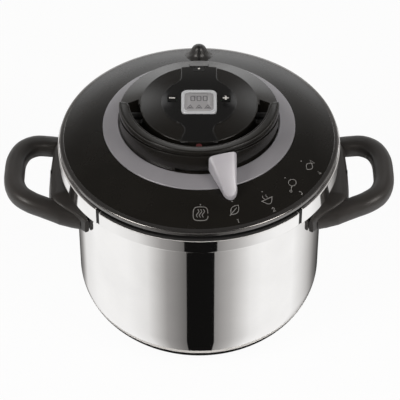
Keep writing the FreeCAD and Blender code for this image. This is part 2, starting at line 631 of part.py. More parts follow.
hub_in = S["hub_radius"] - S["hub_wall"]
dome_rise = S["dome_top"] - S["dome_edge"]
dome_curve = (S["dome_radius"] * S["dome_radius"] + dome_rise * dome_rise) / (dome_rise * 2)
floor_low = S["channel_floor"] - S["floor_wall"]
tilt = (S["bail_low_front"] - S["bail_low_end"]) / S["bail_outer"]
far_y = size(-90)


def tilted(y, drop):
    """Height of the bail's sloping underside at one y."""
    return S["bail_low_end"] - tilt * y - drop


def keyhole(grow):
    """The timer outline seen from above: a round middle with a neck to the rear and a flared neck to the front."""
    radius, blend = S["timer_radius"] + grow, S["neck_blend"] - grow
    rear, front, flare, end = S["neck_back"] + grow, S["neck_front"] + grow, S["neck_flare"] + grow, S["neck_end"] + grow
    share = radius / (radius + blend)
    rear_y = root((radius + blend) * (radius + blend) - (rear + blend) * (rear + blend))
    front_y = root((radius + blend) * (radius + blend) - (front + blend) * (front + blend))
    points = [(rear, end), (-rear, end), (-rear, rear_y), (-((rear + blend) * share), rear_y * share), (-radius, 0),
              (-((front + blend) * share), -(front_y * share)), (-front, -front_y), (-flare, -end), (flare, -end), (front, -front_y),
              ((front + blend) * share, -(front_y * share)), (radius, 0), ((rear + blend) * share, rear_y * share), (rear, rear_y)]
    return points, {2: -blend, 3: radius, 4: radius, 5: -blend, 9: -blend, 10: radius, 11: radius, 12: -blend}


hub = body("hub_housing")
spin(hub, [(hub_in, seat_high), (S["hub_radius"], seat_high), (S["hub_radius"], S["bail_top"]), (hub_in, S["bail_top"])])
prism(hub, "YZ_Plane", -S["hub_radius"] - 5, S["hub_radius"] + 5,
      [(S["hub_radius"] + 5, S["bail_top"] + 5), (far_y, S["bail_top"] + 5), (far_y, tilted(far_y, 0.4)), (size(1), tilted(size(1), 0.4)),
       (size(1), S["channel_floor"]), (S["hub_radius"] + 5, S["channel_floor"])], cut=True)
spin(hub, [(0, seat_high), (S["hub_radius"], seat_high), (S["hub_radius"], S["channel_floor"]), (S["dome_radius"], S["channel_floor"]),
           (S["dome_radius"], S["dome_edge"]), (0, S["dome_top"])], arcs={4: dome_curve})
spin(hub, [(S["dome_radius"] - 1, floor_low), (S["hub_radius"], floor_low), (S["hub_radius"], S["collar_low"]), (S["dome_radius"], S["dome_edge"]),
           (S["dome_radius"] - 1, S["dome_edge"])], sweep=size(180), turn=90)
spin(hub, [(0, seat_high - 1), (hub_in - 0.5, seat_high - 1), (hub_in - 0.5, floor_low), (S["dome_radius"] - 2.2, floor_low),
           (S["dome_radius"] - 2.2, S["timer_low"] - 4), (0, S["timer_low"] - 4)], cut=True)
room = S["dome_radius"] - 5.5
for x_low, x_high in ((size(35.8), room), (-room, size(-35.8))):
    prism(hub, "XY_Plane", seat_high - 1, S["pivot_z"] + 4.9, box_points(x_low, x_high, pin_y - 16.5, pin_y + 8), cut=True)
for x_low, x_high in ((S["dome_radius"] + 1.6, S["hub_radius"] + 3), (-S["hub_radius"] - 3, -S["dome_radius"] - 1.6)):
    prism(hub, "XY_Plane", S["channel_floor"], S["bail_top"] + 5, box_points(x_low, x_high, S["pivot_y"] - 7, S["pocket_back"]), cut=True)
prism(hub, "YZ_Plane", -S["dome_radius"] - 3, S["dome_radius"] + 3,
      circles=[([(S["pivot_y"], S["pivot_z"])], S["pivot_radius"] + S["running_fit"])], cut=True)
spin(hub, [(hub_in - 1, seat_high - 1), (S["hub_radius"] + 2, seat_high - 1), (S["hub_radius"] + 2, floor_low), (hub_in - 1, floor_low)],
     cut=True, sweep=size(96), turn=-90 + 31)
prism(hub, "XY_Plane", S["timer_low"] - 0.3, S["dome_top"] + 5, circles=[([(0, 0)], S["timer_radius"] + S["fit"])], cut=True)
key, bends = keyhole(S["fit"])
prism(hub, "XY_Plane", S["dome_edge"] - S["neck_wall"] - 0.3, S["dome_top"] + 5, key, bends, cut=True)
prism(hub, "XY_Plane", floor_low - 1, S["channel_floor"] + 1, circles=[([(0, S["indicator_y"])], S["indicator_radius"] + S["fit"])], cut=True)
latch_gap = S["fit"]
prism(hub, "XY_Plane", S["collar_low"] - 0.6, S["dome_top"],
      box_points(-S["latch_half"] - latch_gap, S["latch_half"] + latch_gap, S["dome_radius"] + 0.8, S["hub_radius"] - 9.8), cut=True)
prism(hub, "XY_Plane", seat_high - 1, seat_high + 7, circles=[(screw_spots, size(1.25))], cut=True)

carrier = body("carrier")
carrier_low = flange_z - S["carrier_wall"]
legs = [(S["leg_x"], S["leg_y"]), (S["leg_x"], -S["leg_y"]), (-S["leg_x"], S["leg_y"]), (-S["leg_x"], -S["leg_y"])]
spin(carrier, [(S["valve_radius"] + 2.5, carrier_low), (hub_in + 2.4, carrier_low), (hub_in + 2.4, flange_z), (S["valve_radius"] + 2.5, flange_z)])
prism(carrier, "XY_Plane", lid_top, carrier_low + 1, circles=[(legs, S["leg_radius"])])
prism(carrier, "XY_Plane", lid_top - 1, flange_z + 1, circles=[(legs, S["stud_radius"] + 0.15)], cut=True)
for x_low, x_high in ((lug_in - 2, lug_out + 2.5), (-lug_out - 2.5, -lug_in + 2)):
    prism(carrier, "XY_Plane", carrier_low - 1, flange_z + 1, box_points(x_low, x_high, pin_y - 18, pin_y + 8), cut=True)
prism(carrier, "XY_Plane", carrier_low - 1, flange_z + 1, circles=[([(0, S["indicator_y"])], S["indicator_radius"] + S["fit"]), (screw_spots, size(1.4))], cut=True)

studs, nuts, pegs = [], [], []
for i, (x, y) in enumerate(legs):
    studs.append(rod("stud_%d" % i, S["stud_radius"], flange_z + 2.4 - lid_top, x, y, lid_top))
    nuts.append(minus("nut_%d" % i, rod("nut_body_%d" % i, 4, 2.2, x, y, flange_z),
                      rod("nut_bore_%d" % i, S["stud_radius"] + S["running_fit"], 4, x, y, flange_z - 1)))
for i, (x, y) in enumerate(screw_spots):
    pegs.append(joined("hub_screw_%d" % i, [rod("hub_screw_head_%d" % i, 1.5, 1.4, x, y, carrier_low - 1.4),
                                            rod("hub_screw_shank_%d" % i, 1.2, flange_z + 8 - carrier_low, x, y, carrier_low)]))
group("carrier_studs", studs)
group("carrier_nuts", nuts)
group("hub_screws", pegs)


# Bail

bail = body("bail_handle")
spin(bail, [(S["bail_inner"], S["channel_floor"] + 1), (S["bail_outer"], S["channel_floor"] + 1), (S["bail_outer"], S["bail_top"]),
            (S["bail_inner"], S["bail_top"] - S["bail_dish"])], sweep=S["bail_sweep"], turn=-90)
prism(bail, "YZ_Plane", -S["bail_outer"] - 5, S["bail_outer"] + 5,
      [(size(5), S["channel_floor"] - 3), (size(5), tilted(size(5), 0)), (far_y, tilted(far_y, 0)), (far_y, S["channel_floor"] - 3)], cut=True)
fillet(bail, S["bail_round"], on_ring(S["bail_outer"], S["bail_top"]))
fillet(bail, S["bail_round"], on_ring(S["bail_inner"], S["bail_top"] - S["bail_dish"]))
for x_low, x_high in ((S["bail_inner"] - 2, S["bail_outer"] - 1.6), (-S["bail_outer"] + 1.6, -S["bail_inner"] + 2)):
    prism(bail, "YZ_Plane", x_low, x_high, circles=[([(S["pivot_y"], S["pivot_z"])], S["ear_radius"])])
prism(bail, "YZ_Plane", -S["bail_outer"] + 4, S["bail_outer"] - 4,
      circles=[([(S["pivot_y"], S["pivot_z"])], S["pivot_radius"] + S["running_fit"])], cut=True)

cranks = []
for side, name in ((-1, "left"), (1, "right")):
    shaft = rod(name + "_pivot", S["pivot_radius"], S["bail_outer"] - 4.4 - size(42.3), size(42.3) * side, S["pivot_y"], S["pivot_z"], (side, 0, 0))
    web = doc.addObject("Part::Box", name + "_crank_web")
    bind(web, "Length", 3)
    bind(web, "Width", S["crank_pin"] * 2)
    bind(web, "Height", S["crank_throw"] * 1.4142)
    web.Placement.Rotation = FreeCAD.Rotation(FreeCAD.Vector(1, 0, 0), -135)
    diagonal = S["crank_pin"] * 0.7071
    for letter, amount in zip("xyz", (size(42.3) if side > 0 else size(-45.3), S["pivot_y"] + diagonal, S["pivot_z"] + diagonal)):
        bind(web, "Placement.Base." + letter, amount)
    boss = rod(name + "_crank_boss", S["pivot_radius"] + 1.3, 3, size(42.3) * side, S["pivot_y"], S["pivot_z"], (side, 0, 0))
    end = rod(name + "_crank_end", S["crank_pin"], 3, size(42.3) * side, pin_y, pin_z, (side, 0, 0))
    pin = rod(name + "_crank_pin", S["crank_pin"], 6.4, size(42.3) * side, pin_y, pin_z, (-side, 0, 0))
    cranks.append(joined(name + "_crank", [shaft, web, boss, end, pin]))
group("bail_cranks", cranks)


# Selector

ring_z = seat_high + S["fit"]
ring_top = ring_z + 2.6
selector = body("selector_ring", turn=S["selector_angle"])
spin(selector, [(S["flange_inner"] - 1.2, ring_z), (hub_in - 1, ring_z), (hub_in - 1, ring_top), (S["flange_inner"] - 1.2, ring_top)])
prism(selector, "XY_Plane", ring_z, ring_top, box_points(size(-4), size(4), size(8), S["flange_inner"]))
prism(selector, "XY_Plane", flange_z + 1.4, ring_top, circles=[([(0, 0)], S["valve_radius"] - 0.4)])

lever = body("selector_lever", turn=S["selector_angle"])
lever_in, tip_half = S["hub_radius"] + 0.6, S["lever_tip"] / 2
tip_y = S["lever_reach"] - tip_half
lever_fall = (S["lever_top"] - S["lever_tip_top"]) / (S["lever_reach"] - lever_in)
prism(lever, "XY_Plane", S["ring_low"] - 6, S["lever_top"],
      [(-(S["lever_root"] / 2), -lever_in), (-tip_half, -tip_y), (0, -S["lever_reach"]), (tip_half, -tip_y), (S["lever_root"] / 2, -lever_in)],
      arcs={1: tip_half, 2: tip_half})
prism(lever, "YZ_Plane", -S["lever_root"], S["lever_root"],
      [(-S["lever_reach"] - 5, S["lever_top"] + 5), (-S["lever_reach"] - 5, S["lever_tip_top"] - lever_fall * 5),
       (-lever_in, S["lever_top"]), (-lever_in + 5, S["lever_top"] + 5)], cut=True)
prism(lever, "YZ_Plane", -S["lever_root"], S["lever_root"],
      [(-lever_in + 5, S["ring_high"] + 0.9 + ring_fall * 5), (-S["lever_reach"] - 5, S["ring_high"] + 1 - ring_fall * (S["lever_reach"] + 5 - S["ring_inner"])),
       (-S["lever_reach"] - 5, S["ring_low"] - 12), (-lever_in + 5, S["ring_low"] - 12)], cut=True)
fillet(lever, 1.6, lambda e: e.BoundBox.ZMax > S["lever_tip_top"].value - 1 and e.BoundBox.YMin < -lever_in.value - 3
       and e.BoundBox.ZMin > S["lever_tip_top"].value - 1.5)
prism(lever, "XY_Plane", ring_top, ring_top + 2.2, box_points(size(-9), size(9), -lever_in - 1, -S["flange_inner"]))


# Timer

timer = body("timer_case")
case_top = S["dome_top"] + 0.2
prism(timer, "XY_Plane", S["timer_low"], S["dome_top"] + 2, circles=[([(0, 0)], S["timer_radius"])])
key, bends = keyhole(size(0))
prism(timer, "XY_Plane", S["dome_edge"] - S["neck_wall"], S["dome_top"] + 2, key, bends)
spin(timer, [(0, case_top), (S["dome_radius"] + 6, S["dome_edge"] + 0.2 - dome_rise * 0.25), (S["dome_radius"] + 6, S["dome_top"] + 6), (0, S["dome_top"] + 6)],
     arcs={0: -dome_curve}, cut=True)
back_r = S["timer_radius"] - 2.1
prism(timer, "XY_Plane", S["timer_low"] - 1, S["timer_low"] + 6.2, circles=[([(0, 0)], back_r)], cut=True)
frame, glass = S["bezel_half"], S["bezel_half"] - S["bezel_rim"]
mid_y = size(-1)
bezel_low = S["dome_top"] - 1.4
prism(timer, "XY_Plane", bezel_low, S["dome_top"] + 3, box_points(-frame - 0.15, frame + 0.15, mid_y - frame - 0.15, mid_y + frame + 0.15), cut=True)
prism(timer, "XY_Plane", bezel_low - 1.2, S["dome_top"] + 3, box_points(-glass, glass, mid_y - glass, mid_y + glass), cut=True)
knob = S["button_half"]
for x in (-S["button_x"], S["button_x"]):
    prism(timer, "XY_Plane", S["timer_low"] + 5, S["dome_top"] + 3,
          box_points(x - knob - 0.2, x + knob + 0.2, S["button_y"] - knob - 0.2, S["button_y"] + knob + 0.2), cut=True)

prism(body("timer_back"), "XY_Plane", S["timer_low"], S["timer_low"] + 1.6, circles=[([(0, 0)], back_r - 0.1)])
prism(body("timer_battery"), "XY_Plane", S["timer_low"] + 1.6, S["timer_low"] + 4.2, circles=[([(0, 0)], size(10))])
prism(body("timer_board"), "XY_Plane", S["timer_low"] + 4.2, S["timer_low"] + 5.6, circles=[([(0, 0)], back_r - 0.6)])

bezel = body("timer_bezel")
prism(bezel, "XY_Plane", bezel_low, S["dome_top"] + 1.2, box_points(-frame, frame, mid_y - frame, mid_y + frame))
prism(bezel, "XY_Plane", bezel_low - 1, S["dome_top"] + 3, box_points(-glass, glass, mid_y - glass, mid_y + glass), cut=True)
fillet(bezel, 0.7, lambda e: abs(e.CenterOfMass.z - S["dome_top"].value - 1.2) < 0.02)
prism(body("lcd_panel"), "XY_Plane", bezel_low - 1.2, S["dome_top"] + 0.7, box_points(-glass + 0.1, glass - 0.1, mid_y - glass + 0.1, mid_y + glass - 0.1))

for side, name in ((-1, "minus_button"), (1, "plus_button")):
    key_cap = body(name)
    x = S["button_x"] * side
    prism(key_cap, "XY_Plane", S["timer_low"] + 7, S["dome_top"] + 0.1, box_points(x - knob, x + knob, S["button_y"] - knob, S["button_y"] + knob))

catch = body("timer_latch")
catch_in, catch_out = S["dome_radius"] + 1.1, S["hub_radius"] - 10.1
collar_fall = (S["dome_edge"] - S["collar_low"]) / (S["hub_radius"] - S["dome_radius"])
prism(catch, "YZ_Plane", -S["latch_half"], S["latch_half"],
      [(catch_in, S["collar_low"] + 1.4), (catch_out, S["collar_low"] + 1.4), (catch_out, S["dome_edge"] - collar_fall * (catch_out - S["dome_radius"]) + 0.3),
       (catch_in, S["dome_edge"] - collar_fall * (catch_in - S["dome_radius"]) + 0.3)])


# Pressure indicator and valves

pin = S["indicator_radius"]
spin(body("pressure_indicator", x=0, y=S["indicator_y"]),
     [(0, lid_low - 7), (pin + 1.4, lid_low - 7), (pin + 1.4, lid_low - 5.6), (pin, lid_low - 5.6), (pin, S["indicator_top"]), (0, S["indicator_top"])])
spin(body("indicator_bush", x=0, y=S["indicator_y"]),
     [(pin + S["running_fit"], lid_low - 1.4), (bush_hole + 1.6, lid_low - 1.4), (bush_hole + 1.6, lid_low), (bush_hole - 0.1, lid_low), (bush_hole - 0.1, lid_top),
      (bush_hole + 0.4, lid_top), (bush_hole + 0.4, lid_top + 1.6), (pin + S["running_fit"], lid_top + 1.6)])

v, bore = S["valve_radius"], S["valve_bore"]
chamber = v - 3.5
thread = v - 2.5
valve_top = carrier_low - 1.3
column = body("valve_body")
spin(column, [(bore, lid_low - 9), (thread, lid_low - 9), (thread, lid_top), (v + 3, lid_top), (v + 3, lid_top + 2.6), (v + 1.6, lid_top + 2.6),
              (v + 1.6, rocker_low - 0.1), (v, rocker_low - 0.1), (v, valve_top), (chamber, valve_top), (chamber, lid_top + 6), (bore, lid_top + 4)])
prism(column, "XZ_Plane", size(4), v + 3, circles=[([(0, S["pipe_z"])], S["pipe_radius"] + S["running_fit"])], cut=True)
locknut = body("valve_nut")
spin(locknut, [(thread + S["running_fit"], lid_low - 6.5), (v + 2.5, lid_low - 6.5), (v + 3.4, lid_low - 5.6), (v + 3.4, lid_low), (thread + S["running_fit"], lid_low)])
cap = body("valve_cap")
spin(cap, [(0, valve_top), (chamber - 0.4, valve_top), (v, valve_top), (v, valve_top + 1.8), (0, valve_top + 1.8)])
prism(cap, "XY_Plane", valve_top + 1, flange_z + 1.2, circles=[([(0, 0)], size(4))])
poppet_top = lid_top + 11
spin(body("valve_poppet"), [(0, lid_top + 4.4), (bore * 0.8, lid_top + 4.4), (chamber - 0.9, lid_top + 7.4), (chamber - 0.9, poppet_top), (0, poppet_top)])
coil("valve_spring", size(4.2), size(0.55), poppet_top + 0.6, valve_top - 0.6, 5)

sx, sy = S["safety_x"], S["safety_y"]
spin(body("safety_valve_body", x=sx, y=sy),
     [(bore, lid_low - 4), (safety_hole + 2.4, lid_low - 4), (safety_hole + 2.4, lid_low), (safety_hole - 0.1, lid_low), (safety_hole - 0.1, lid_top),
      (safety_hole + 1.4, lid_top), (safety_hole + 1.4, lid_top + 17), (size(2.2), lid_top + 17), (size(2.2), lid_top + 15.6), (safety_hole, lid_top + 15.6),
      (safety_hole, lid_top + 2), (bore, lid_top)])
spin(body("safety_plunger", x=sx, y=sy),
     [(0, lid_top + 0.4), (bore * 0.8, lid_top + 0.4), (safety_hole - 0.4, lid_top + 3.2), (safety_hole - 0.4, lid_top + 5), (size(1.8), lid_top + 5),
      (size(1.8), lid_top + 18), (0, lid_top + 18)])
coil("safety_spring", size(3.4), size(0.55), lid_top + 5.65, lid_top + 14.9, 5, sx, sy)


# Steam path

pipe_start, pipe_end = chamber + 0.6, S["outlet_y"] - 11.4
node(minus("steam_pipe", rod("pipe_outside", S["pipe_radius"], pipe_end - pipe_start, 0, pipe_start, S["pipe_z"], (0, 1, 0)),
           rod("pipe_inside", S["pipe_radius"] - 0.9, pipe_end - pipe_start + 2, 0, pipe_start - 1, S["pipe_z"], (0, 1, 0))), "steam_pipe")

hump = doc.addObject("Part::Ellipsoid", "hump")
for prop, amount in (("Radius1", 12), ("Radius2", 10.5), ("Radius3", 14)):
    bind(hump, prop, amount)
bind(hump, "Placement.Base.y", S["outlet_y"])
bind(hump, "Placement.Base.z", S["ring_low"] - 4.2)
above = minus("hump_above", hump, cover)
socket = rod("outlet_socket", S["pipe_radius"] + S["running_fit"], 3, 0, S["outlet_y"] - 14.3, S["pipe_z"], (0, 1, 0))
slit = doc.addObject("Part::Box", "slit")
for prop, amount in (("Length", 2.6), ("Width", 9), ("Height", 16)):
    bind(slit, prop, amount)
for letter, amount in zip("xyz", (size(-1.3), S["outlet_y"] - 12, S["ring_low"] - 2)):
    bind(slit, "Placement.Base." + letter, amount)
node(minus("steam_outlet", above, joined("outlet_cuts", [socket, slit])), "steam_outlet")

doc.recompute()

# Checks and files

os.makedirs("parts", exist_ok=True)
for thing in doc.Objects:
    if "Invalid" in thing.State or "Error" in thing.State:
        raise RuntimeError("%s: %s" % (thing.Label, thing.State))
for thing in NODES:
    if thing.Shape.isNull() or not thing.Shape.isValid() or not thing.Shape.Solids:
        raise RuntimeError("%s has no valid shape" % thing.Label)
for thing in NODES:
    thing.Shape.exportStep("parts/%s.step" % thing.Label)
    print("%-22s %d solid(s) %9.1f mm3" % (thing.Label, len(thing.Shape.Solids), thing.Shape.Volume))
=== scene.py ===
import json
import math
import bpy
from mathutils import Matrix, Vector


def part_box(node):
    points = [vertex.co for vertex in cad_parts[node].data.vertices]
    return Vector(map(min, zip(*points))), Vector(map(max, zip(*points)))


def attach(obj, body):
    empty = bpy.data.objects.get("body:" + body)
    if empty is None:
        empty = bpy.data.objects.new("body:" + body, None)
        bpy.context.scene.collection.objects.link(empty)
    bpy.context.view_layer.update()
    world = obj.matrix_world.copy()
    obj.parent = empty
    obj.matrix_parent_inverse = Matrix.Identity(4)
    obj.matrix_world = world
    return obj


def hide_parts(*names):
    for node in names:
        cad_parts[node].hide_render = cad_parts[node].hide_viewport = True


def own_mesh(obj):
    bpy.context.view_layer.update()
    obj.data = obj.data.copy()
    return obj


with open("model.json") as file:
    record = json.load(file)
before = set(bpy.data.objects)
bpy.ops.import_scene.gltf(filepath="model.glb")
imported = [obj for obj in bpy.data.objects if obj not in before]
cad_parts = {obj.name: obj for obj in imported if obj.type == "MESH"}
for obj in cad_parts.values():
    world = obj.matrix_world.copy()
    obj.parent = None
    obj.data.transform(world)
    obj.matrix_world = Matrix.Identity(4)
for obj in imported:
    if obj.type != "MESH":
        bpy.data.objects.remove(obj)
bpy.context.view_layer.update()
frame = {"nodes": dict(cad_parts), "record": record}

from types import SimpleNamespace

import bmesh
import bpy
import numpy as np
from mathutils import Vector

bl_info = {
    "name": "Stovetop Pressure Cooker",
    "version": (1, 0, 0),
    "blender": (4, 5, 0),
    "location": "View3D > Sidebar > Cooker",
    "description": "Dresses a packed stovetop pressure cooker with smooth surfaces and finishes",
    "category": "Object",
}

NODES = frame["nodes"]
SLOT_OF = {part["node"]: part["material_slot"] for part in frame["record"]["subparts"]}
MM = 0.001


def cad_end(node, axis, end=1):
    """The far end of a CAD node's box along one axis, or with end 0 its near end, in millimetres."""
    return round(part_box(node)[end][axis] / MM, 3)


# Places that several pieces share, in millimetres

COVER_INNER, COVER_EDGE = 85.3, cad_end("lid_cover", 0)
COVER_TOP, COVER_FALL, COVER_CROWN = 210.6, 14.2, 0.9
TIMER_TOP, TIMER_CROWN = 237.1, 441.8
HUB_RADIUS, BAIL_PIVOT, BAIL_RISE = 70.2, 227.0, 9.0
RING_INNER = 70.8
BAND_LOW = cad_end("right_skirt", 2, 0)
SQUARE = np.array([(-1, -1), (1, -1), (1, 1), (-1, 1)])
DISPLAY_MIDDLE = np.array([0, -1])

# Settings of the surfaces: millimetres, a share of a stretch, degrees and metres

LONG_STRETCH, HOLD = 3.0, 0.04
LIP_ANGLE, FULL_TURN = 1.3, 360.0
WELD = 2e-6


# Surfaces

def quads(rows, cols, close_rows=False, close_cols=False):
    """Faces of a grid of rows by cols points: each point is joined to the next in its row and its column."""
    r, c = np.meshgrid(np.arange(rows if close_rows else rows - 1),
                       np.arange(cols if close_cols else cols - 1), indexing="ij")
    down, right = (r + 1) % rows, (c + 1) % cols
    corners = [r * cols + c, r * cols + right, down * cols + right, down * cols + c]
    return np.stack(corners, -1).reshape(-1, 4).tolist()


def unit(vectors):
    """Vectors along the last axis, each divided by its length."""
    return vectors / np.maximum(np.linalg.norm(vectors, axis=-1, keepdims=True), 1e-9)


def evened(values, count):
    """A row of values, each replaced by the mean of itself and its neighbours, count in all."""
    return np.convolve(np.pad(values, count // 2, mode="edge"), np.ones(count) / count, "valid")


def rounded(corners, radii, steps=6, closed=True, hold=False):
    """A polyline whose corners are arcs: a corner of radius r is cut back by r / tan(half its angle).
    With hold, a long straight stretch gets a point near both ends, and so stays flat when shaded smooth."""
    corners, made = np.asarray(corners, float), []
    for i, (corner, radius) in enumerate(zip(corners, radii)):
        if radius <= 0 or (not closed and i in (0, len(corners) - 1)):
            made.append(corner[None])
            continue
        before = unit(corners[i - 1] - corner)
        after = unit(corners[(i + 1) % len(corners)] - corner)
        half = math.acos(np.clip(before @ after, -1, 1)) / 2
        centre = corner + unit(before + after) * radius / math.sin(half)
        first = (corner + before * radius / math.tan(half) - centre) / radius
        last = (corner + after * radius / math.tan(half) - centre) / radius
        turn = math.acos(np.clip(first @ last, -1, 1))
        t = np.linspace(0, 1, steps)[:, None]
        sweep = np.sin((1 - t) * turn) * first + np.sin(t * turn) * last
        made.append(centre + radius * sweep / math.sin(turn))
    for i in range(len(made) - (not closed) if hold else 0):
        start, step = made[i][-1], made[(i + 1) % len(made)][0] - made[i][-1]
        if np.linalg.norm(step) > LONG_STRETCH:
            made[i] = np.vstack([made[i], start + HOLD * step, start + (1 - HOLD) * step])
    return np.concatenate(made)


def slim(inner, outer, low, high, corner=0.2):
    """The section of a slim ring: a rectangle of radius and height with small round corners."""
    return rounded([(inner, low), (outer, low), (outer, high), (inner, high)], [corner] * 4, 3)


def arc(x, z, radius, low, high, count=14):
    """Points of a circle about (x, z) from one angle to another, in degrees."""
    a = np.radians(np.linspace(low, high, count))
    return np.stack([x + radius * np.cos(a), z + radius * np.sin(a)], -1)


def round_path(radius, low, high, z, count):
    """Points of a level circle about Z from one heading to another, in degrees."""
    return np.column_stack([arc(0, 0, radius, low, high, count), np.full(count, z)])


def turned(profile, start=0.0, sweep=FULL_TURN, count=192, lip=0.0):
    """Surface of revolution about Z: point (u, v) is (r(u) cos v, r(u) sin v, z(u)).
    Over part of a turn both ends are closed, and lip draws the radius in along a quarter circle near each."""
    full = sweep >= FULL_TURN
    v = np.linspace(0, 1, count, endpoint=not full)
    a = np.radians(start + sweep * v)
    near = np.clip(1 - np.minimum(v, 1 - v) * sweep / LIP_ANGLE, 0, 1)
    r = profile[:, :1] - lip * (1 - np.sqrt(1 - near ** 2))
    points = np.stack([r * np.cos(a), r * np.sin(a), np.repeat(profile[:, 1:], count, 1)], -1)
    faces = quads(len(profile), count, True, full)
    if not full:
        ring = np.arange(len(profile)) * count
        faces += [ring.tolist(), (ring[::-1] + count - 1).tolist()]
    return points.reshape(-1, 3), faces


def soft_square(count, power):
    """A closed rounded square in u and v: signed powers of cosine and sine, small for tight corners."""
    t = np.linspace(0, 2 * np.pi, count, endpoint=False)
    return tuple(np.sign(w) * np.abs(w) ** power for w in (np.cos(t), np.sin(t)))


def lofted(stations):
    """A closed skin over a stack of closed sections, shape (sections, points, 3), with a cap on each end."""
    n, m, _ = stations.shape
    faces = quads(n, m, False, True)
    faces += [list(range(m))[::-1], list(range((n - 1) * m, n * m))]
    return stations.reshape(-1, 3), faces


def sheet(x, y, z, rings=False):
    """An open sheet over a grid of points; with rings, each row of the grid is a closed ring."""
    points = np.stack([x, y, np.broadcast_to(z, x.shape)], -1)
    return points.reshape(-1, 3), quads(*x.shape, False, rings)


def stacked(*parts):
    """Several surfaces as one: points are put end to end and the faces' numbers move along."""
    points, faces, at = [], [], 0
    for p, f in parts:
        points.append(p)
        faces += [[i + at for i in face] for face in f]
        at += len(p)
    return np.concatenate(points), faces


def moved(part, turn):
    """A surface turned about Z by an angle in degrees."""
    points, faces = part
    c, s = math.cos(math.radians(turn)), math.sin(math.radians(turn))
    return points @ np.array([[c, s, 0], [-s, c, 0], [0, 0, 1]]), faces


def mirrored(part):
    """A surface reflected in the plane x = 0; its faces are turned round again when the piece is made."""
    points, faces = part
    return points * np.array([-1, 1, 1]), faces


def ribbon(path, width, closed=False):
    """A flat stroke along 2-D points: each is offset by half the width to both sides along the normal."""
    path = np.asarray(path, float)
    ahead = np.roll(path, -1, 0) if closed else np.vstack([path[1:], 2 * path[-1] - path[-2]])
    behind = np.roll(path, 1, 0) if closed else np.vstack([2 * path[0] - path[1], path[:-1]])
    along = unit(ahead - behind)
    side = np.stack([-along[:, 1], along[:, 0]], -1) * width / 2
    flat = np.stack([path + side, path - side], 1)
    return flat.reshape(-1, 2), quads(len(path), 2, closed, False)


def flat_marks(strokes, x, y, z):
    """Flat strokes as one level surface: each point is shifted by (x, y) and lies at height z."""
    flat, faces = stacked(*strokes)
    return np.column_stack([flat + np.array([x, y]), np.full(len(flat), z)]), faces


def smooth_path(points, count):
    """A curve through 3-D points: cubic stretches whose end slopes are half the step between neighbours."""
    p = np.asarray(points, float)
    ends = np.vstack([2 * p[0] - p[1], p, 2 * p[-1] - p[-2]])
    t = np.linspace(0, len(p) - 1, count)
    k = np.minimum(t.astype(int), len(p) - 2)
    f = (t - k)[:, None]
    a, b, c, d = (ends[k + i] for i in range(4))
    return b + 0.5 * f * (c - a + f * (2 * a - 5 * b + 4 * c - d + f * (3 * (b - c) + d - a)))


def bead(path, radius, closed=False, count=10):
    """A round bead along a 3-D path: a circle in the plane of the path's side direction and Z.
    The ends of an open path are closed flat."""
    along = np.roll(path, -1, 0) - np.roll(path, 1, 0) if closed else np.gradient(path, axis=0)
    side = unit(np.stack([along[:, 1], -along[:, 0], np.zeros(len(path))], -1))
    t = np.linspace(0, 2 * np.pi, count, endpoint=False)[:, None]
    rings = path[:, None] + radius * (np.cos(t) * side[:, None] + np.sin(t) * np.array([0, 0, 1.0]))
    if closed:
        return rings.reshape(-1, 3), quads(len(path), count, True, True)
    return lofted(rings)


def keyhole_line():
    """The timer's outline from above: a circle with a neck to the rear and a flared neck to the front.
    Small arcs of the blend radius join the circle and the necks."""
    radius, blend, rear, front, flare, end, cut = 32.6, 12.0, 15.5, 12.0, 16.5, 50.2, 1.0
    rear_y, front_y = (math.sqrt((radius + blend) ** 2 - (half + blend) ** 2) for half in (rear, front))
    tip = math.degrees(math.atan2(rear_y, rear + blend))
    toe = math.degrees(math.atan2(front_y, front + blend))
    half = np.vstack([
        [(0, end), (rear - cut, end), (rear, end - cut)],
        arc(rear + blend, rear_y, blend, 180, 180 + tip, 10),
        arc(0, 0, radius, tip, -toe, 40)[1:],
        arc(front + blend, -front_y, blend, 180 - toe, 180, 10)[1:],
        [(flare, cut - end), (flare - cut, -end), (0, -end)],
    ])
    return np.vstack([half, half[-2:0:-1] * np.array([-1, 1])])


def shown(name, data):
    """A new object for a mesh, a lamp or a camera, linked to the scene."""
    made = bpy.data.objects.new(name, data)
    bpy.context.scene.collection.objects.link(made)
    return made


def piece(name, part, material, body, stands_for=(), sharp=35.0, closed=True):
    """Puts a surface, in millimetres, into an object that rides on a body and stands for CAD nodes."""
    points, faces = part
    mesh = bpy.data.meshes.new(name)
    mesh.from_pydata((points * MM).tolist(), [], faces)
    shell = bmesh.new()
    shell.from_mesh(mesh)
    bmesh.ops.remove_doubles(shell, verts=shell.verts, dist=WELD)
    if closed:
        bmesh.ops.recalc_face_normals(shell, faces=shell.faces)
    else:
        shell.normal_update()
        bmesh.ops.reverse_faces(shell, faces=[face for face in shell.faces if face.normal.z < 0])
    shell.to_mesh(mesh)
    shell.free()
    mesh.polygons.foreach_set("use_smooth", np.ones(len(mesh.polygons), bool))
    mesh.set_sharp_from_angle(angle=math.radians(sharp))
    mesh.materials.append(material)
    made = shown(name, mesh)
    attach(made, body)
    if stands_for:
        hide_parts(*stands_for)
    return made


# Finishes

def tune(node, levels):
    """Sets input sockets of a node by name."""
    for socket, level in levels.items():
        node.inputs[socket].default_value = level


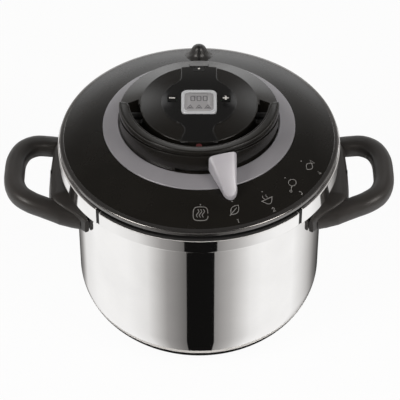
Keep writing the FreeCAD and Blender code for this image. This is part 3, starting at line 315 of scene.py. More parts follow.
def finish(name, colour, metallic=0.0, rough=0.4, spread=0.08, shade=0.15, grain=0.0, grain_scale=1500.0,
           stretch=(1, 1, 1), coat=0.0, gloss=0.5):
    """A node finish on Object coordinates: a broad noise shifts the colour by the share shade.
    The broad noise, or on metal the fine one, shifts the roughness; the fine one gives the bump."""
    made = bpy.data.materials.get(name)
    if made:
        return made
    made = bpy.data.materials.new(name)
    made.use_nodes = True
    nodes, links = made.node_tree.nodes, made.node_tree.links
    shader, ramp = nodes["Principled BSDF"], nodes.new("ShaderNodeValToRGB")
    where, place = nodes.new("ShaderNodeTexCoord"), nodes.new("ShaderNodeMapping")
    broad, fine = nodes.new("ShaderNodeTexNoise"), nodes.new("ShaderNodeTexNoise")
    span = nodes.new("ShaderNodeMapRange")
    tune(shader, {"Metallic": metallic, "Specular IOR Level": gloss})
    tune(shader, {"Coat Weight": coat, "Coat Roughness": 0.05})
    tune(place, {"Scale": stretch})
    tune(broad, {"Scale": 25, "Detail": 5})
    tune(fine, {"Scale": grain_scale, "Detail": 3})
    tune(span, {"From Min": 0.25, "From Max": 0.75})
    tune(span, {"To Min": max(0.02, rough - spread), "To Max": rough + spread})
    for stop, position, share in zip(ramp.color_ramp.elements, (0.3, 0.7), (1 - shade, 1 + shade)):
        stop.position = position
        stop.color = [min(1.0, c * share) for c in colour] + [1]
    links.new(where.outputs["Object"], broad.inputs["Vector"])
    links.new(broad.outputs["Fac"], ramp.inputs["Fac"])
    links.new(ramp.outputs["Color"], shader.inputs["Base Color"])
    links.new(where.outputs["Object"], place.inputs["Vector"])
    links.new(place.outputs["Vector"], fine.inputs["Vector"])
    links.new((fine if metallic else broad).outputs["Fac"], span.inputs["Value"])
    links.new(span.outputs["Result"], shader.inputs["Roughness"])
    if grain:
        bump = nodes.new("ShaderNodeBump")
        tune(bump, {"Strength": grain, "Distance": 0.0002})
        links.new(fine.outputs["Fac"], bump.inputs["Height"])
        links.new(bump.outputs["Normal"], shader.inputs["Normal"])
    return made


def polished_steel(colours):
    """Mirror steel with faint level brush lines."""
    return finish("polished_steel", colours.steel, metallic=1.0, rough=0.055, spread=0.02, shade=0.03,
                  grain=0.008, grain_scale=60, stretch=(0.4, 0.4, 30))


def satin_steel(colours):
    """Brushed steel."""
    return finish("satin_steel", [c * 0.8 for c in colours.steel], metallic=1.0, rough=0.28, shade=0.05,
                  grain=0.05, grain_scale=90, stretch=(1, 1, 20))


def cover_black(colours):
    """Satin black of the cover's top."""
    return finish("satin_cover", colours.cover, rough=0.27, spread=0.03, shade=0.1,
                  grain=0.015, grain_scale=2600, gloss=0.32)


def lip_satin(colours):
    """Dark metallic coat of the cover's lip."""
    return finish("lip_satin", [0.19, 0.184, 0.18], metallic=0.92, rough=0.2, spread=0.04, shade=0.08,
                  grain=0.02, grain_scale=2600)


def sheen_black(colours):
    """Dull black paler than the cover's: painted sheen on the steam outlet,
    and a painted highlight line on the bail's inner edge.
    """
    return finish("sheen_black", [0.03, 0.029, 0.028], rough=0.36, spread=0.04, shade=0.08,
                  grain=0.02, grain_scale=2600)


def hub_black(colours):
    """Glossier black of the hub and the bail."""
    return finish("hub_black", colours.cover, rough=0.2, spread=0.03, shade=0.12,
                  grain=0.012, grain_scale=2200, gloss=0.42)


def handle_black(colours):
    """Grained black of the handles."""
    return finish("moulded_handle", colours.handle, rough=0.42, spread=0.06, shade=0.14,
                  grain=0.22, grain_scale=1700)


def trim_grey(colours):
    """Silver grey of the ring."""
    return finish("silver_trim", colours.trim, metallic=0.25, rough=0.36, spread=0.05, shade=0.05,
                  grain=0.04, grain_scale=3000)


def lever_grey(colours):
    """Paler grey of the lever."""
    return finish("lever_grey", [c * 1.4 for c in colours.trim], metallic=0.1, rough=0.36, spread=0.05,
                  shade=0.04, grain=0.04, grain_scale=3000)


def timer_gloss(colours):
    """Coated black of the timer."""
    return finish("timer_gloss", [0.006, 0.006, 0.006], rough=0.09, spread=0.03,
                  grain=0.008, grain_scale=1200, coat=0.4)


def display_grey(colours):
    """Grey of the display's pane."""
    return finish("display_grey", colours.display, rough=0.28, spread=0.04, shade=0.06,
                  grain=0.02, grain_scale=2500)


def mark_white(colours):
    """White of the marks on the timer."""
    return finish("mark_white", [0.72, 0.71, 0.69], rough=0.5, spread=0.05, shade=0.05,
                  grain=0.05, grain_scale=3000)


def mark_grey(colours):
    """Grey of the scale on the cover."""
    return finish("mark_grey", [0.26, 0.255, 0.25], rough=0.5, spread=0.05, shade=0.1,
                  grain=0.05, grain_scale=3000)


def figure_grey(colours):
    """Dark grey of the display's figures."""
    return finish("figure_grey", [0.1, 0.1, 0.11], spread=0.05, shade=0.1, grain=0.02, grain_scale=2000)


def shade_black(colours):
    """Dull black painted where there is only shade: in slots and gaps, in a notch and in a slit."""
    return finish("shade_black", [0.004, 0.004, 0.004], rough=0.6, spread=0.05, shade=0.1,
                  grain=0.05, grain_scale=2000)


def dark_steel(colours):
    """Blackened steel of the cranks and the handles' screws."""
    return finish("blackened_steel", [0.03, 0.03, 0.03], metallic=0.8, rough=0.45, shade=0.1,
                  grain=0.08, grain_scale=500)


def finishes_by_slot(colours):
    """The finish of each material slot of the record, for CAD nodes that stay."""
    return {
        "steel_polished": polished_steel(colours),
        "steel_satin": satin_steel(colours),
        "steel_fastener": finish("fastener_steel", [0.5, 0.5, 0.5], metallic=1.0, rough=0.3, shade=0.08,
                                 grain=0.08, grain_scale=500),
        "aluminium_core": finish("core_aluminium", [0.75, 0.75, 0.76], metallic=1.0, shade=0.05,
                                 grain=0.1, grain_scale=400),
        "handle_black": handle_black(colours),
        "cover_black": hub_black(colours),
        "frame_grey": finish("grey_frame", [0.05, 0.05, 0.05], rough=0.5, grain=0.15, grain_scale=1200),
        "trim_grey": trim_grey(colours),
        "timer_black": timer_gloss(colours),
        "bezel_silver": finish("silver_bezel", [0.66, 0.68, 0.71], metallic=0.2, rough=0.32, spread=0.05,
                               shade=0.04, grain=0.03, grain_scale=2500),
        "display": display_grey(colours),
        "board_green": finish("green_board", [0.03, 0.2, 0.06], shade=0.2, grain=0.1, grain_scale=700),
        "silicone": finish("silicone_grey", [0.5, 0.5, 0.49], rough=0.6, shade=0.08,
                           grain=0.1, grain_scale=900),
        "indicator_red": finish("red_indicator", [0.075, 0.003, 0.004], rough=0.3, spread=0.05, shade=0.12,
                                grain=0.03, grain_scale=1500),
        "brass_valve": finish("brass", [0.66, 0.5, 0.22], metallic=1.0, rough=0.28, shade=0.08,
                              grain=0.06, grain_scale=500),
    }


# Shapes of the lid's top

def cover_height(r):
    """Height of the cover's top at a radius: a straight fall to the lip plus a half sine for its crown."""
    share = np.clip((np.asarray(r, float) - COVER_INNER) / (COVER_EDGE - COVER_INNER), 0, 1)
    return COVER_TOP - COVER_FALL * share + COVER_CROWN * np.sin(np.pi * share)


def timer_height(x, y, lift=0.0):
    """Height of the timer's crowned top: it falls by the squared distance over twice the crown's radius."""
    return TIMER_TOP + lift - (x ** 2 + y ** 2) / (2 * TIMER_CROWN)


def bail_rise(y):
    """Rise of the bail's underside over its pivot: even towards the front, full at the hub's radius."""
    return -BAIL_RISE / HUB_RADIUS * y


def on_cover(flat, radius, angle, lift):
    """Wraps flat points (x to the right, y inwards) on to the cover: y shortens the radius, and x over the
    radius is added to the angle from the front."""
    r = radius - flat[:, 1]
    a = np.radians(angle - 90) + flat[:, 0] / radius
    return np.stack([r * np.cos(a), r * np.sin(a), cover_height(r) + lift], -1)


def bow(x0, y0, x1, y1, bulge, count=9):
    """A stroke between two points, bowed sideways like a half sine."""
    t = np.linspace(0, 1, count)
    n = np.array([-(y1 - y0), x1 - x0])
    line = np.stack([x0 + (x1 - x0) * t, y0 + (y1 - y0) * t], -1)
    return line + np.outer(np.sin(np.pi * t), n) * bulge


def ring_path(x, y, rx, ry, power=1.0, count=32):
    """A closed loop about a point: an ellipse, or a rounded square where the power is small."""
    u, v = soft_square(count, power)
    return np.stack([x + rx * u, y + ry * v], -1)


def filled_oval(wide, deep, y):
    """The x and y of a filled oval about (0, y): six rings of a rounded square grow from its middle."""
    u, v = soft_square(28, 0.7)
    t = np.linspace(0, 1, 6)[:, None]
    return wide * u * t, y + deep * v * t


def level_square(half, corner, z):
    """A level square about the display's middle: its corners are arcs."""
    line = rounded(SQUARE * half, [corner] * 4, 9) + DISPLAY_MIDDLE
    return np.column_stack([line, np.full(len(line), z)])


NUMERALS = {
    "1": [[(-0.5, 0.7), (0.1, 1.1), (0.1, -1.1)]],
    "2": [np.vstack([arc(0, 0.45, 0.65, 170, -40, 9), [(-0.7, -1.1), (0.75, -1.1)]])],
    "3": [np.vstack([arc(0, 0.52, 0.55, 150, -90, 8), arc(0, -0.52, 0.58, 90, -150, 8)])],
    "4": [[(0.35, -1.1), (0.35, 1.1), (-0.75, -0.45), (0.8, -0.45)]],
}


# Sizes and colours

def length(name, description, millimetres):
    """A size that can be changed, written here in millimetres and kept in metres."""
    return bpy.props.FloatProperty(
        name=name, description=description, default=millimetres * MM, precision=4, unit="LENGTH")


def colour(name, description, default):
    """A colour that can be changed."""
    return bpy.props.FloatVectorProperty(name=name, description=description, default=default, subtype="COLOR")


def in_mm(group):
    """The lengths of a group in millimetres, under their own names."""
    return SimpleNamespace(**{name: getattr(group, name) / MM for name in type(group).__annotations__})


class CookerPotSizes(bpy.types.PropertyGroup):
    """Sizes of the steel pot and its band."""

    radius: length("Pot Radius", "Outside radius of the pot wall", 111.0)
    wall: length("Pot Wall", "Thickness of the pot sheet", 1.2)
    rim: length("Rim Height", "Top of the pot rim", cad_end("pot_shell", 2))
    band: length("Band Radius", "Outside of the steel band", cad_end("right_skirt", 0))


class CookerHandleSizes(bpy.types.PropertyGroup):
    """Sizes of the two loop handles."""

    reach: length("Handle Reach", "Outermost face of a handle", 175.6)
    height: length("Handle Height", "Middle of the bar at the grip", 152.0)
    bar: length("Bar", "Thickness of the bar", 18.4)


class CookerLidSizes(bpy.types.PropertyGroup):
    """Sizes of the cover, the bail and the printed lines."""

    cover: length("Cover Radius", "Edge of the cover", COVER_EDGE)
    bail_top: length("Bail Top", "Highest edge of the bail", 241.0)
    stroke: length("Mark Stroke", "Width of the printed lines", 0.55)


class CookerForms(bpy.types.PropertyGroup):
    """Settings of the bail and the lever that are not lengths."""

    bail_round: bpy.props.FloatProperty(
        name="Bail Rounding", description="Power of the bail's rounded section", default=0.36,
        subtype="FACTOR")
    lever_angle: bpy.props.FloatProperty(
        name="Lever Angle", description="Lever from the front", default=math.radians(16.5), subtype="ANGLE")


class CookerColours(bpy.types.PropertyGroup):
    """Colours of the main finishes."""

    steel: colour("Steel", "Polished steel", (0.83, 0.82, 0.81))
    cover: colour("Cover", "Black cover and hub", (0.011, 0.010, 0.0085))
    handle: colour("Handles", "Matt black handles", (0.035, 0.032, 0.03))
    trim: colour("Trim", "Grey ring and lever", (0.33, 0.325, 0.352))
    display: colour("Display", "Grey display", (0.37, 0.37, 0.385))


GROUPS = {
    "cooker_pot": CookerPotSizes,
    "cooker_handles": CookerHandleSizes,
    "cooker_lid": CookerLidSizes,
    "cooker_forms": CookerForms,
    "cooker_colours": CookerColours,
}


# Operators

class COOKER_OT_pot(bpy.types.Operator):
    """Spins the pot wall, its rolled rim and the base pan."""

    bl_idname = "cooker.pot"
    bl_label = "Pot"

    def execute(self, context):
        size, colours = in_mm(context.scene.cooker_pot), context.scene.cooker_colours
        thick, low, bend, start = size.wall, 6.5, -50, 150
        heel, heel_x, side, side_z = 20, 81.0, 48, 47.95
        side_x, heel_z = size.radius - side, low + heel
        outside = np.vstack([[(0, low)], arc(heel_x, heel_z, heel, -90, bend),
                             arc(side_x, side_z, side, bend, 0, 20)[1:]])
        inside = np.vstack([arc(side_x, side_z, side - thick, 0, bend, 20),
                            arc(heel_x, heel_z, heel - thick, bend, -90)[1:], [(0, low + thick)]])
        hem, hem_low = size.radius + 8.5, 176
        inner, under, fold = size.radius - thick, size.rim - thick, hem - thick
        rim = rounded([(size.radius, start), (size.radius, under), (fold, under), (fold, hem_low),
                       (hem, hem_low), (hem, size.rim), (inner, size.rim), (inner, start)],
                      [0, 0.6, 0.1, 0.3, 0.3, 1.1, 1.1, 0], closed=False, hold=True)
        wall = turned(np.vstack([outside, rim, inside]), count=256)
        piece("pot_wall", wall, polished_steel(colours), "pot", ("pot_shell",))
        edge, plate, groove = 80, 1, 40
        pan = rounded([(0, 0), (edge, 0), (edge, low), (edge - plate, low), (edge - plate, plate),
                       (0, plate)], [0, 3, 0.2, 0.2, 2, 0])
        mark = turned(slim(groove, groove + 1.2, 0.02, 0.5, 0.1), count=128)
        piece("base_pan", stacked(turned(pan), mark), satin_steel(colours), "pot", ("base_cap",))
        return {"FINISHED"}


class COOKER_OT_handles(bpy.types.Operator):
    """Sweeps the two loop handles, which spread into a foot that hugs the pot wall."""

    bl_idname = "cooker.handles"
    bl_label = "Handles"

    def execute(self, context):
        size, colours = in_mm(context.scene.cooker_handles), context.scene.cooker_colours
        wall = in_mm(context.scene.cooker_pot).radius + 0.4
        right = stacked(self.loop(size), self.foot(size.height, wall))
        for name, shape in (("right", right), ("left", mirrored(right))):
            piece(name + "_loop_handle", shape, handle_black(colours), "pot", (name + "_handle",),
                  sharp=60)
        return {"FINISHED"}

    def loop(self, size):
        """The bar: a rounded section offset, to the side and in Z, from a curve out, round and back."""
        root, mid, half = 104.5, size.height, size.bar / 2
        end = size.reach - half
        arm = np.array([(root, 50.5, mid - 15), (114, 46.6, mid - 12.2), (125, 43.4, mid - 8.6),
                        (137, 40.8, mid - 4.6), (149.5, 37.4, mid - 1.2), (end - 6.6, 29.4, mid),
                        (end - 1, 16.0, mid), (end, 0, mid)])
        line = smooth_path(np.vstack([arm, arm[-2::-1] * np.array([1, -1, 1])]), 113)
        along = unit(np.gradient(line[:, :2], axis=0))
        side = np.stack([along[:, 1], -along[:, 0]], -1)
        wide = np.interp(line[:, 0], (root, 112, 122, 130), (3.0, 6.0, half - 0.2, half))[:, None]
        tall = np.interp(line[:, 0], (root, 112, 122), (6.5, 8.4, half))[:, None]
        u, v = soft_square(36, 0.82)
        x, y = (line[:, i, None] + side[:, i, None] * u * wide for i in (0, 1))
        return lofted(np.stack([x, y, line[:, 2, None] + v * tall], -1))

    def foot(self, mid, wall):
        """The foot: a rounded section of radius and height, its depth and edges a function of the heading."""
        spread, share = 28.6, np.linspace(-1, 1, 65)
        away = np.abs(share)
        deep = np.interp(away, (0, 0.3, 0.5, 0.62, 0.75, 0.88, 1), (23.5, 24.2, 26.8, 26.0, 16.0, 8.0, 3.0))
        deep = evened(deep, 7)[:, None]
        top = np.interp(away, (0, 0.5, 0.7, 1), (mid + 4.5, mid + 4.5, mid + 0.5, mid - 8))[:, None]
        low = np.interp(away, (0, 0.6, 1), (mid - 19, mid - 20, mid - 21.5))[:, None]
        u, v = soft_square(36, 0.42)
        r = wall + (u + 1) / 2 * deep * (1 - 0.06 * v)
        z = low + (v + 1) / 2 * (top - low)
        heading = np.radians(spread * share)[:, None]
        return lofted(np.stack([r * np.cos(heading), r * np.sin(heading), z], -1))


class COOKER_OT_band(bpy.types.Operator):
    """Turns the skirts and the two jaws from folded sheet profiles, and dark strips of painted shade in their
    gaps.
    """

    bl_idname = "cooker.band"
    bl_label = "Steel Band"

    def execute(self, context):
        size, colours = in_mm(context.scene.cooker_pot), context.scene.cooker_colours
        self.skirts(size.band, polished_steel(colours))
        self.jaws(size.band, polished_steel(colours), shade_black(colours))
        # Dark strips and bars in the slots between the skirts and the jaws: painted shade.
        strip, slot_edge_shade = slim(121.7, 122.5, 176.4, 190.2), slim(123.6, 124.6, 174.4, 190.4)
        gap_shades = [turned(section, heading - sweep / 2, sweep, count)
                  for section, slot, sweep, count in ((strip, 45.7, 4.8, 7), (slot_edge_shade, 45.82, 1.56, 5))
                  for heading in (slot - 180, -slot, slot, 180 - slot)]
        piece("slot_gap_shades", stacked(*gap_shades), shade_black(colours), "pot")
        return {"FINISHED"}

    def skirts(self, r, steel):
        """The two side skirts: a stepped flange that folds down into a wall."""
        thick, top, flange, step, shelf = 1.2, 191.8, 106, 117, 188.2
        profile = rounded([(flange, shelf), (step, shelf), (step, top - thick), (r - thick, top - thick),
                           (r - thick, BAND_LOW), (r, BAND_LOW), (r, top), (step - thick, top),
                           (step - thick, shelf + thick), (flange, shelf + thick)],
                          [0.2, 1, 0.2, 0.4, 0.3, 0.3, 1.6, 0.4, 0.2, 0.2], hold=True)
        for name, start in (("right", -45.0), ("left", 135.0)):
            shape = turned(profile, start, sweep=90.0, count=97, lip=0.4)
            piece(name + "_side_skirt", shape, steel, "pot", (name + "_skirt",))

    def jaws(self, r, steel, black):
        """The two jaws: a channel open inwards, with a tongue for the rivets, and a dark strip of painted
        shade on top.
        """
        thick, top, flange, claw, half, shade_gap_half = 1.5, 190.1, 112, 114, 43.3, 42.5
        profile = rounded([(flange, top - thick), (r - thick, top - thick), (r - thick, BAND_LOW + thick),
                           (claw, BAND_LOW + thick), (claw, BAND_LOW), (r, BAND_LOW), (r, top),
                           (flange, top)],
                          [0.2, 1.0, 0.8, 0.5, 0.3, 1.8, 2.4, 0.3], 8, hold=True)
        # The dark strip on the jaw's top is painted shade in the gap under the cover's lip; it also covers a
        # lamp's highlight on the jaw's edge.
        shade_gap = rounded([(119.0, 189.9), (124.8, 188.8), (125.5, 188.9), (124.9, 189.9), (124.0, 190.4),
                        (119.0, 190.4)], [0.1, 0.1, 0.2, 0.4, 0.3, 0.1], 4)
        tongue = turned(slim(94, flange + 0.6, top - thick, top), start=-97, sweep=14, count=15)
        for name, heading, turn in (("front", -90, 0), ("rear", 90, 180)):
            channel = turned(profile, heading - half, sweep=2 * half, count=97, lip=0.4)
            shape = stacked(channel, moved(tongue, turn))
            piece(name + "_jaw_shell", shape, steel, name + "_jaw", (name + "_jaw",))
            strip = turned(shade_gap, heading - shade_gap_half, sweep=2 * shade_gap_half, count=65)
            piece(name + "_jaw_shade_gap", strip, black, name + "_jaw")


class COOKER_OT_cover(bpy.types.Operator):
    """Spins the black cover with its rolled lip, and the grey trim ring."""

    bl_idname = "cooker.cover"
    bl_label = "Cover and Ring"

    def execute(self, context):
        size, colours = in_mm(context.scene.cooker_lid), context.scene.cooker_colours
        back, edge = size.cover - 4.4, size.cover - 4.2
        lip_low, lip_side, lip_top, tuck = 192.2, 196.9, 198.3, 193.8
        lip = rounded([(back, lip_low), (size.cover, lip_low), (size.cover, lip_side), (back, lip_top)],
                      [0.4, 1.4, 1.9, 0.5], 9)
        piece("cover_lip", turned(lip, count=256), lip_satin(colours), "pot", sharp=50)
        r = np.linspace(edge, COVER_INNER, 24)
        top = np.vstack([[(edge, tuck)], np.stack([r, cover_height(r)], -1)])
        hole, neck, plate, under, seat_top, seat_low = 62, 70.7, 214.25, 211.3, 208.6, 205.6
        seat = [(COVER_INNER, seat_top), (neck, plate), (hole, plate), (hole, under), (neck - 1, under),
                (COVER_INNER, seat_low)]
        shell = turned(np.vstack([top, seat]), count=256)
        piece("cover_shell", shell, cover_black(colours), "pot", ("lid_cover",), sharp=28)
        outer, low, high = cad_end("trim_ring", 0), cad_end("trim_ring", 2, 0), cad_end("trim_ring", 2)
        ring = rounded([(RING_INNER, high - 2.1), (outer, low), (outer, low + 2.4), (RING_INNER, high)],
                       [0.1, 0.3, 0.9, 0.9])
        piece("grey_ring", turned(ring, count=256), trim_grey(colours), "pot", ("trim_ring",),
              sharp=40)
        return {"FINISHED"}


class COOKER_OT_hub(bpy.types.Operator):
    """Lays beads along the hub's edges and the timer's outline; at its rear a dark oval of painted shade for
    the notch, and a dot.
    """

    bl_idname = "cooker.hub"
    bl_label = "Hub Beads"

    def execute(self, context):
        colours = context.scene.cooker_colours
        edge = round_path(radius=51.0, low=-183, high=3, z=233.75, count=121)
        wall = round_path(HUB_RADIUS - 0.3, low=-172, high=-8, z=BAIL_PIVOT - 1.15, count=121)
        wall[:, 2] += bail_rise(wall[:, 1])
        parts = [bead(edge, radius=0.65), bead(wall, radius=0.62)]
        for z in (216.9, 218.6):
            groove = round_path(HUB_RADIUS + 0.05, low=-9, high=251, z=z, count=181)
            parts.append(bead(groove, radius=0.4))
        piece("hub_beads", stacked(*parts), hub_black(colours), "pot", sharp=60)
        line = keyhole_line()
        outline = bead(np.column_stack([line, timer_height(*line.T)]), radius=0.38, closed=True)
        piece("timer_edge", outline, timer_gloss(colours), "timer", sharp=60)
        # A flat dark oval at the rear of the timer's neck: painted shade for its notch.
        x, y = filled_oval(wide=5.6, deep=3.2, y=46.3)
        notch = sheet(x, y, timer_height(x, y, lift=0.22), rings=True)
        piece("timer_notch_shade", notch, shade_black(colours), "timer", closed=False)
        middle = 47.4
        x, y = filled_oval(wide=1.1, deep=0.9, y=middle)
        dot = sheet(x, y, timer_height(0, middle, lift=0.32), rings=True)
        piece("timer_dot", dot, mark_white(colours), "timer", closed=False)
        return {"FINISHED"}


class COOKER_OT_bail(bpy.types.Operator):
    """Carries a rounded section round the bail, whose underside rises to the front, and adds its two ears."""

    bl_idname = "cooker.bail"
    bl_label = "Bail"

    def execute(self, context):
        size, colours = in_mm(context.scene.cooker_lid), context.scene.cooker_colours
        start, sweep, taper, inner, thick, fall = -178, 176, 2.2, 61.5, 8.7, 2.2
        v = np.linspace(0, 1, 121)
        a = np.radians(start + sweep * v)[:, None]
        u, w = soft_square(40, context.scene.cooker_forms.bail_round)
        near = np.clip(1 - np.minimum(v, 1 - v) * sweep / taper, 0, 1)[:, None]
        shrink = np.sqrt(1 - 0.75 * near ** 2)
        r = inner + (u * shrink + 1) / 2 * thick
        low = BAIL_PIVOT + bail_rise(r * np.sin(a))
        top = size.bail_top - fall + (u + 1) / 2 * fall
        z = low + (w * shrink + 1) / 2 * (top - low)
        bar = lofted(np.stack([r * np.cos(a), r * np.sin(a), z], -1))
        bore, disc, near_x, far_x = 3.1, 5.5, 59.8, 68.4
        profile = rounded([(bore, near_x), (disc, near_x), (disc, far_x), (bore, far_x)],
                          [0.2, 0.6, 0.6, 0.2], 4)
        points, faces = turned(profile, count=40)
        ear = (points[:, [2, 0, 1]] + np.array([0, -8, BAIL_PIVOT]), faces)
        piece("bail_grip", stacked(bar, ear, mirrored(ear)), hub_black(colours), "bail", ("bail_handle",),
              sharp=50)
        # A bead of paler black along the bail's inner top edge: a painted highlight line.
        line = round_path(inner + 0.3, start + 4.4, start + sweep - 4.4, size.bail_top - 2.3, 115)
        edge = bead(line, radius=0.45)
        piece("bail_edge_highlight", edge, sheen_black(colours), "bail", sharp=60)
        return {"FINISHED"}


class COOKER_OT_selector(bpy.types.Operator):
    """Lofts the selector lever from the hub down to its rounded tip."""

    bl_idname = "cooker.selector"
    bl_label = "Selector Lever"

    def execute(self, context):
        colours, angle = context.scene.cooker_colours, math.degrees(context.scene.cooker_forms.lever_angle)
        start, neck, tip, wide, ring_slope = 71.0, 91.5, 6.5, 12.5, 0.3873
        root_top, root_low, fall, crown, ridge, drop = 236.5, 217.5, 25, 1.2, 0.5, 0.12
        curve = np.sin(np.linspace(0, np.pi / 2, 14))[1:]
        q = np.concatenate([np.linspace(start, neck, 28), neck + tip * curve])
        straight = wide - (wide - tip) * (q - start) / (neck - start)
        curved = np.sqrt(np.clip(tip ** 2 - (q - neck) ** 2, 0.02, None))
        half = np.where(q < neck, straight, curved)[:, None]
        share = (q - start) / (neck + tip - start)
        top = (root_top - fall * share + crown * np.sin(np.pi * share))[:, None]
        low = (root_low - ring_slope * (q - RING_INNER))[:, None]
        u, v = soft_square(44, 0.34)
        round_off = 1 - drop * np.clip((q - neck) / tip, 0, 1)[:, None] ** 2
        z = low + (top - low) * (v + 1) / 2 * round_off + ridge * (v > 0) * (1 - u ** 2)
        grip = lofted(np.stack([u * half, np.repeat(-q[:, None], len(u), 1), z], -1))
        piece("lever_grip", moved(grip, angle), lever_grey(colours), "selector", ("selector_lever",),
              sharp=55)
        tang = turned(slim(62, 71.6, 217.2, 219.4), start=-97.5, sweep=15, count=9)
        piece("lever_tang", moved(tang, angle), trim_grey(colours), "selector")
        return {"FINISHED"}


class COOKER_OT_outlet(bpy.types.Operator):
    """Raises the steam outlet out of the cover as a rounded hump with a flared foot, and lays a dark sheet of
    painted shade for its slit.
    """

    bl_idname = "cooker.outlet"
    bl_label = "Steam Outlet"

    def execute(self, context):
        colours = context.scene.cooker_colours
        middle, reach, stretch, lowest = 103, 13.2, 1.08, 196.5
        away = (0, 2.4, 4.4, 6.0, 7.2, 8.3, 9.8, 11.6, reach)
        rise = (12.6, 12.3, 11.3, 9.4, 6.8, 4.2, 2.0, 0.7, -0.4)
        q = np.linspace(0, reach, 40)
        lift = evened(np.interp(q, away, rise), 5)
        t = np.linspace(0, 2 * np.pi, 64, endpoint=False)
        x, y = q[:, None] * np.cos(t), middle + stretch * q[:, None] * np.sin(t)
        z = cover_height(np.minimum(np.hypot(x, y), COVER_EDGE - 0.5)) + lift[:, None]
        points, faces = sheet(x, y, np.maximum(z, lowest), rings=True)
        rim = list(range(len(points) - len(t), len(points)))
        hump = (points, faces + [rim])
        # The hump's black is paler than the cover's: painted sheen.
        piece("outlet_hump", hump, sheen_black(colours), "pot", ("steam_outlet",), sharp=60)
        # The slit is a flat dark sheet just above the hump: painted shade.
        slit, half, wide, lift_off = 94.5, 5.0, 1.2, 0.12
        a, y = np.meshgrid(np.linspace(-1, 1, 9), np.linspace(slit - half, slit + half, 15), indexing="ij")
        x = wide * a * np.sqrt(np.clip(1 - ((y - slit) / (half + 0.2)) ** 4, 0, 1))
        far = np.hypot(x, (y - middle) / stretch)
        z = cover_height(np.hypot(x, y)) + np.interp(far, q, lift) + lift_off
        piece("outlet_slit_shade", sheet(x, y, z), shade_black(colours), "pot", closed=False)
        return {"FINISHED"}


class COOKER_OT_springs(bpy.types.Operator):
    """Winds the two valve springs between the ends of their CAD nodes."""

    bl_idname = "cooker.springs"
    bl_label = "Valve Springs"

    def execute(self, context):
        steel = satin_steel(context.scene.cooker_colours)
        wire, turns = 0.55, 5
        for node, joint in (("valve_spring", "valve_lift"), ("safety_spring", "safety_lift")):
            low, high = (np.array(corner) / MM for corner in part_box(node))
            x, y, _ = (low + high) / 2
            radius, tall = (high - low)[0] / 2 - wire, (high - low)[2]
            t = np.linspace(0, 1, 40 * turns + 1)
            a = 2 * np.pi * turns * t
            z = low[2] + wire + (tall - 2 * wire) * t
            path = np.stack([x + radius * np.cos(a), y + radius * np.sin(a), z], -1)
            made = piece(node + "_coil", bead(path, wire), steel, "pot", (node,), sharp=60)
            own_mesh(made)
        return {"FINISHED"}


class COOKER_OT_timer(bpy.types.Operator):
    """Makes the display's frame and pane, and draws its figures and the buttons' marks as plain strokes."""

    bl_idname = "cooker.timer"
    bl_label = "Timer Display"

    def execute(self, context):
        colours = context.scene.cooker_colours
        by_slot = finishes_by_slot(colours)
        rows = ((15.5, 5.2, 235.6), (15.5, 5.2, 237.5), (15.0, 5.0, 238.1), (14.2, 4.6, 238.2),
                (13.1, 4.2, 237.95), (12.5, 4.0, 237.4), (12.5, 4.0, 235.6))
        rings = np.stack([level_square(*row) for row in rows])
        frame_ring = (rings.reshape(-1, 3), quads(*rings.shape[:2], True, True))
        piece("display_frame", frame_ring, by_slot["bezel_silver"], "timer", ("timer_bezel",),
              sharp=50)
        rows = ((12.4, 4.0, 234.4), (12.4, 4.0, 237.4), (12.2, 4.0, 237.65), (6, 3.0, 237.7))
        pane = lofted(np.stack([level_square(*row) for row in rows]))
        piece("display_pane", pane, by_slot["display"], "timer", ("lcd_panel",), sharp=50)
        digit = ring_path(0, 4.0, 1.7, 3.0, power=0.3, count=24)
        strokes = [ribbon(digit + np.array([x, 0]), width=0.75, closed=True) for x in (-5.4, 0, 5.4)]
        pointer = np.array([(-2.6, -9.2), (0, -4.6), (2.6, -9.2)])
        filling = np.array([(-1.2, -7.9), (1.2, -7.9)])
        for x in (-7.6, 0, 7.6):
            shift = np.array([x, 0])
            strokes += [ribbon(pointer + shift, width=1.1, closed=True), ribbon(filling + shift, width=1.1)]
        figures = flat_marks(strokes, *DISPLAY_MIDDLE, z=237.76)
        piece("display_figures", figures, figure_grey(colours), "timer", closed=False)
        half, width, button_x, button_y = 2.6, 1.5, 23.5, 4.5
        bar, post = ribbon([(-half, 0), (half, 0)], width), ribbon([(0, -half), (0, half)], width)
        for name, x, shapes in (("minus", -button_x, [bar]), ("plus", button_x, [bar, post])):
            points, faces = flat_marks(shapes, x, button_y, z=237.18)
            points[len(bar[0]):, 2] += 0.02
            piece(name + "_mark", (points, faces), mark_white(colours), name + "_button",
                  closed=False)
        return {"FINISHED"}


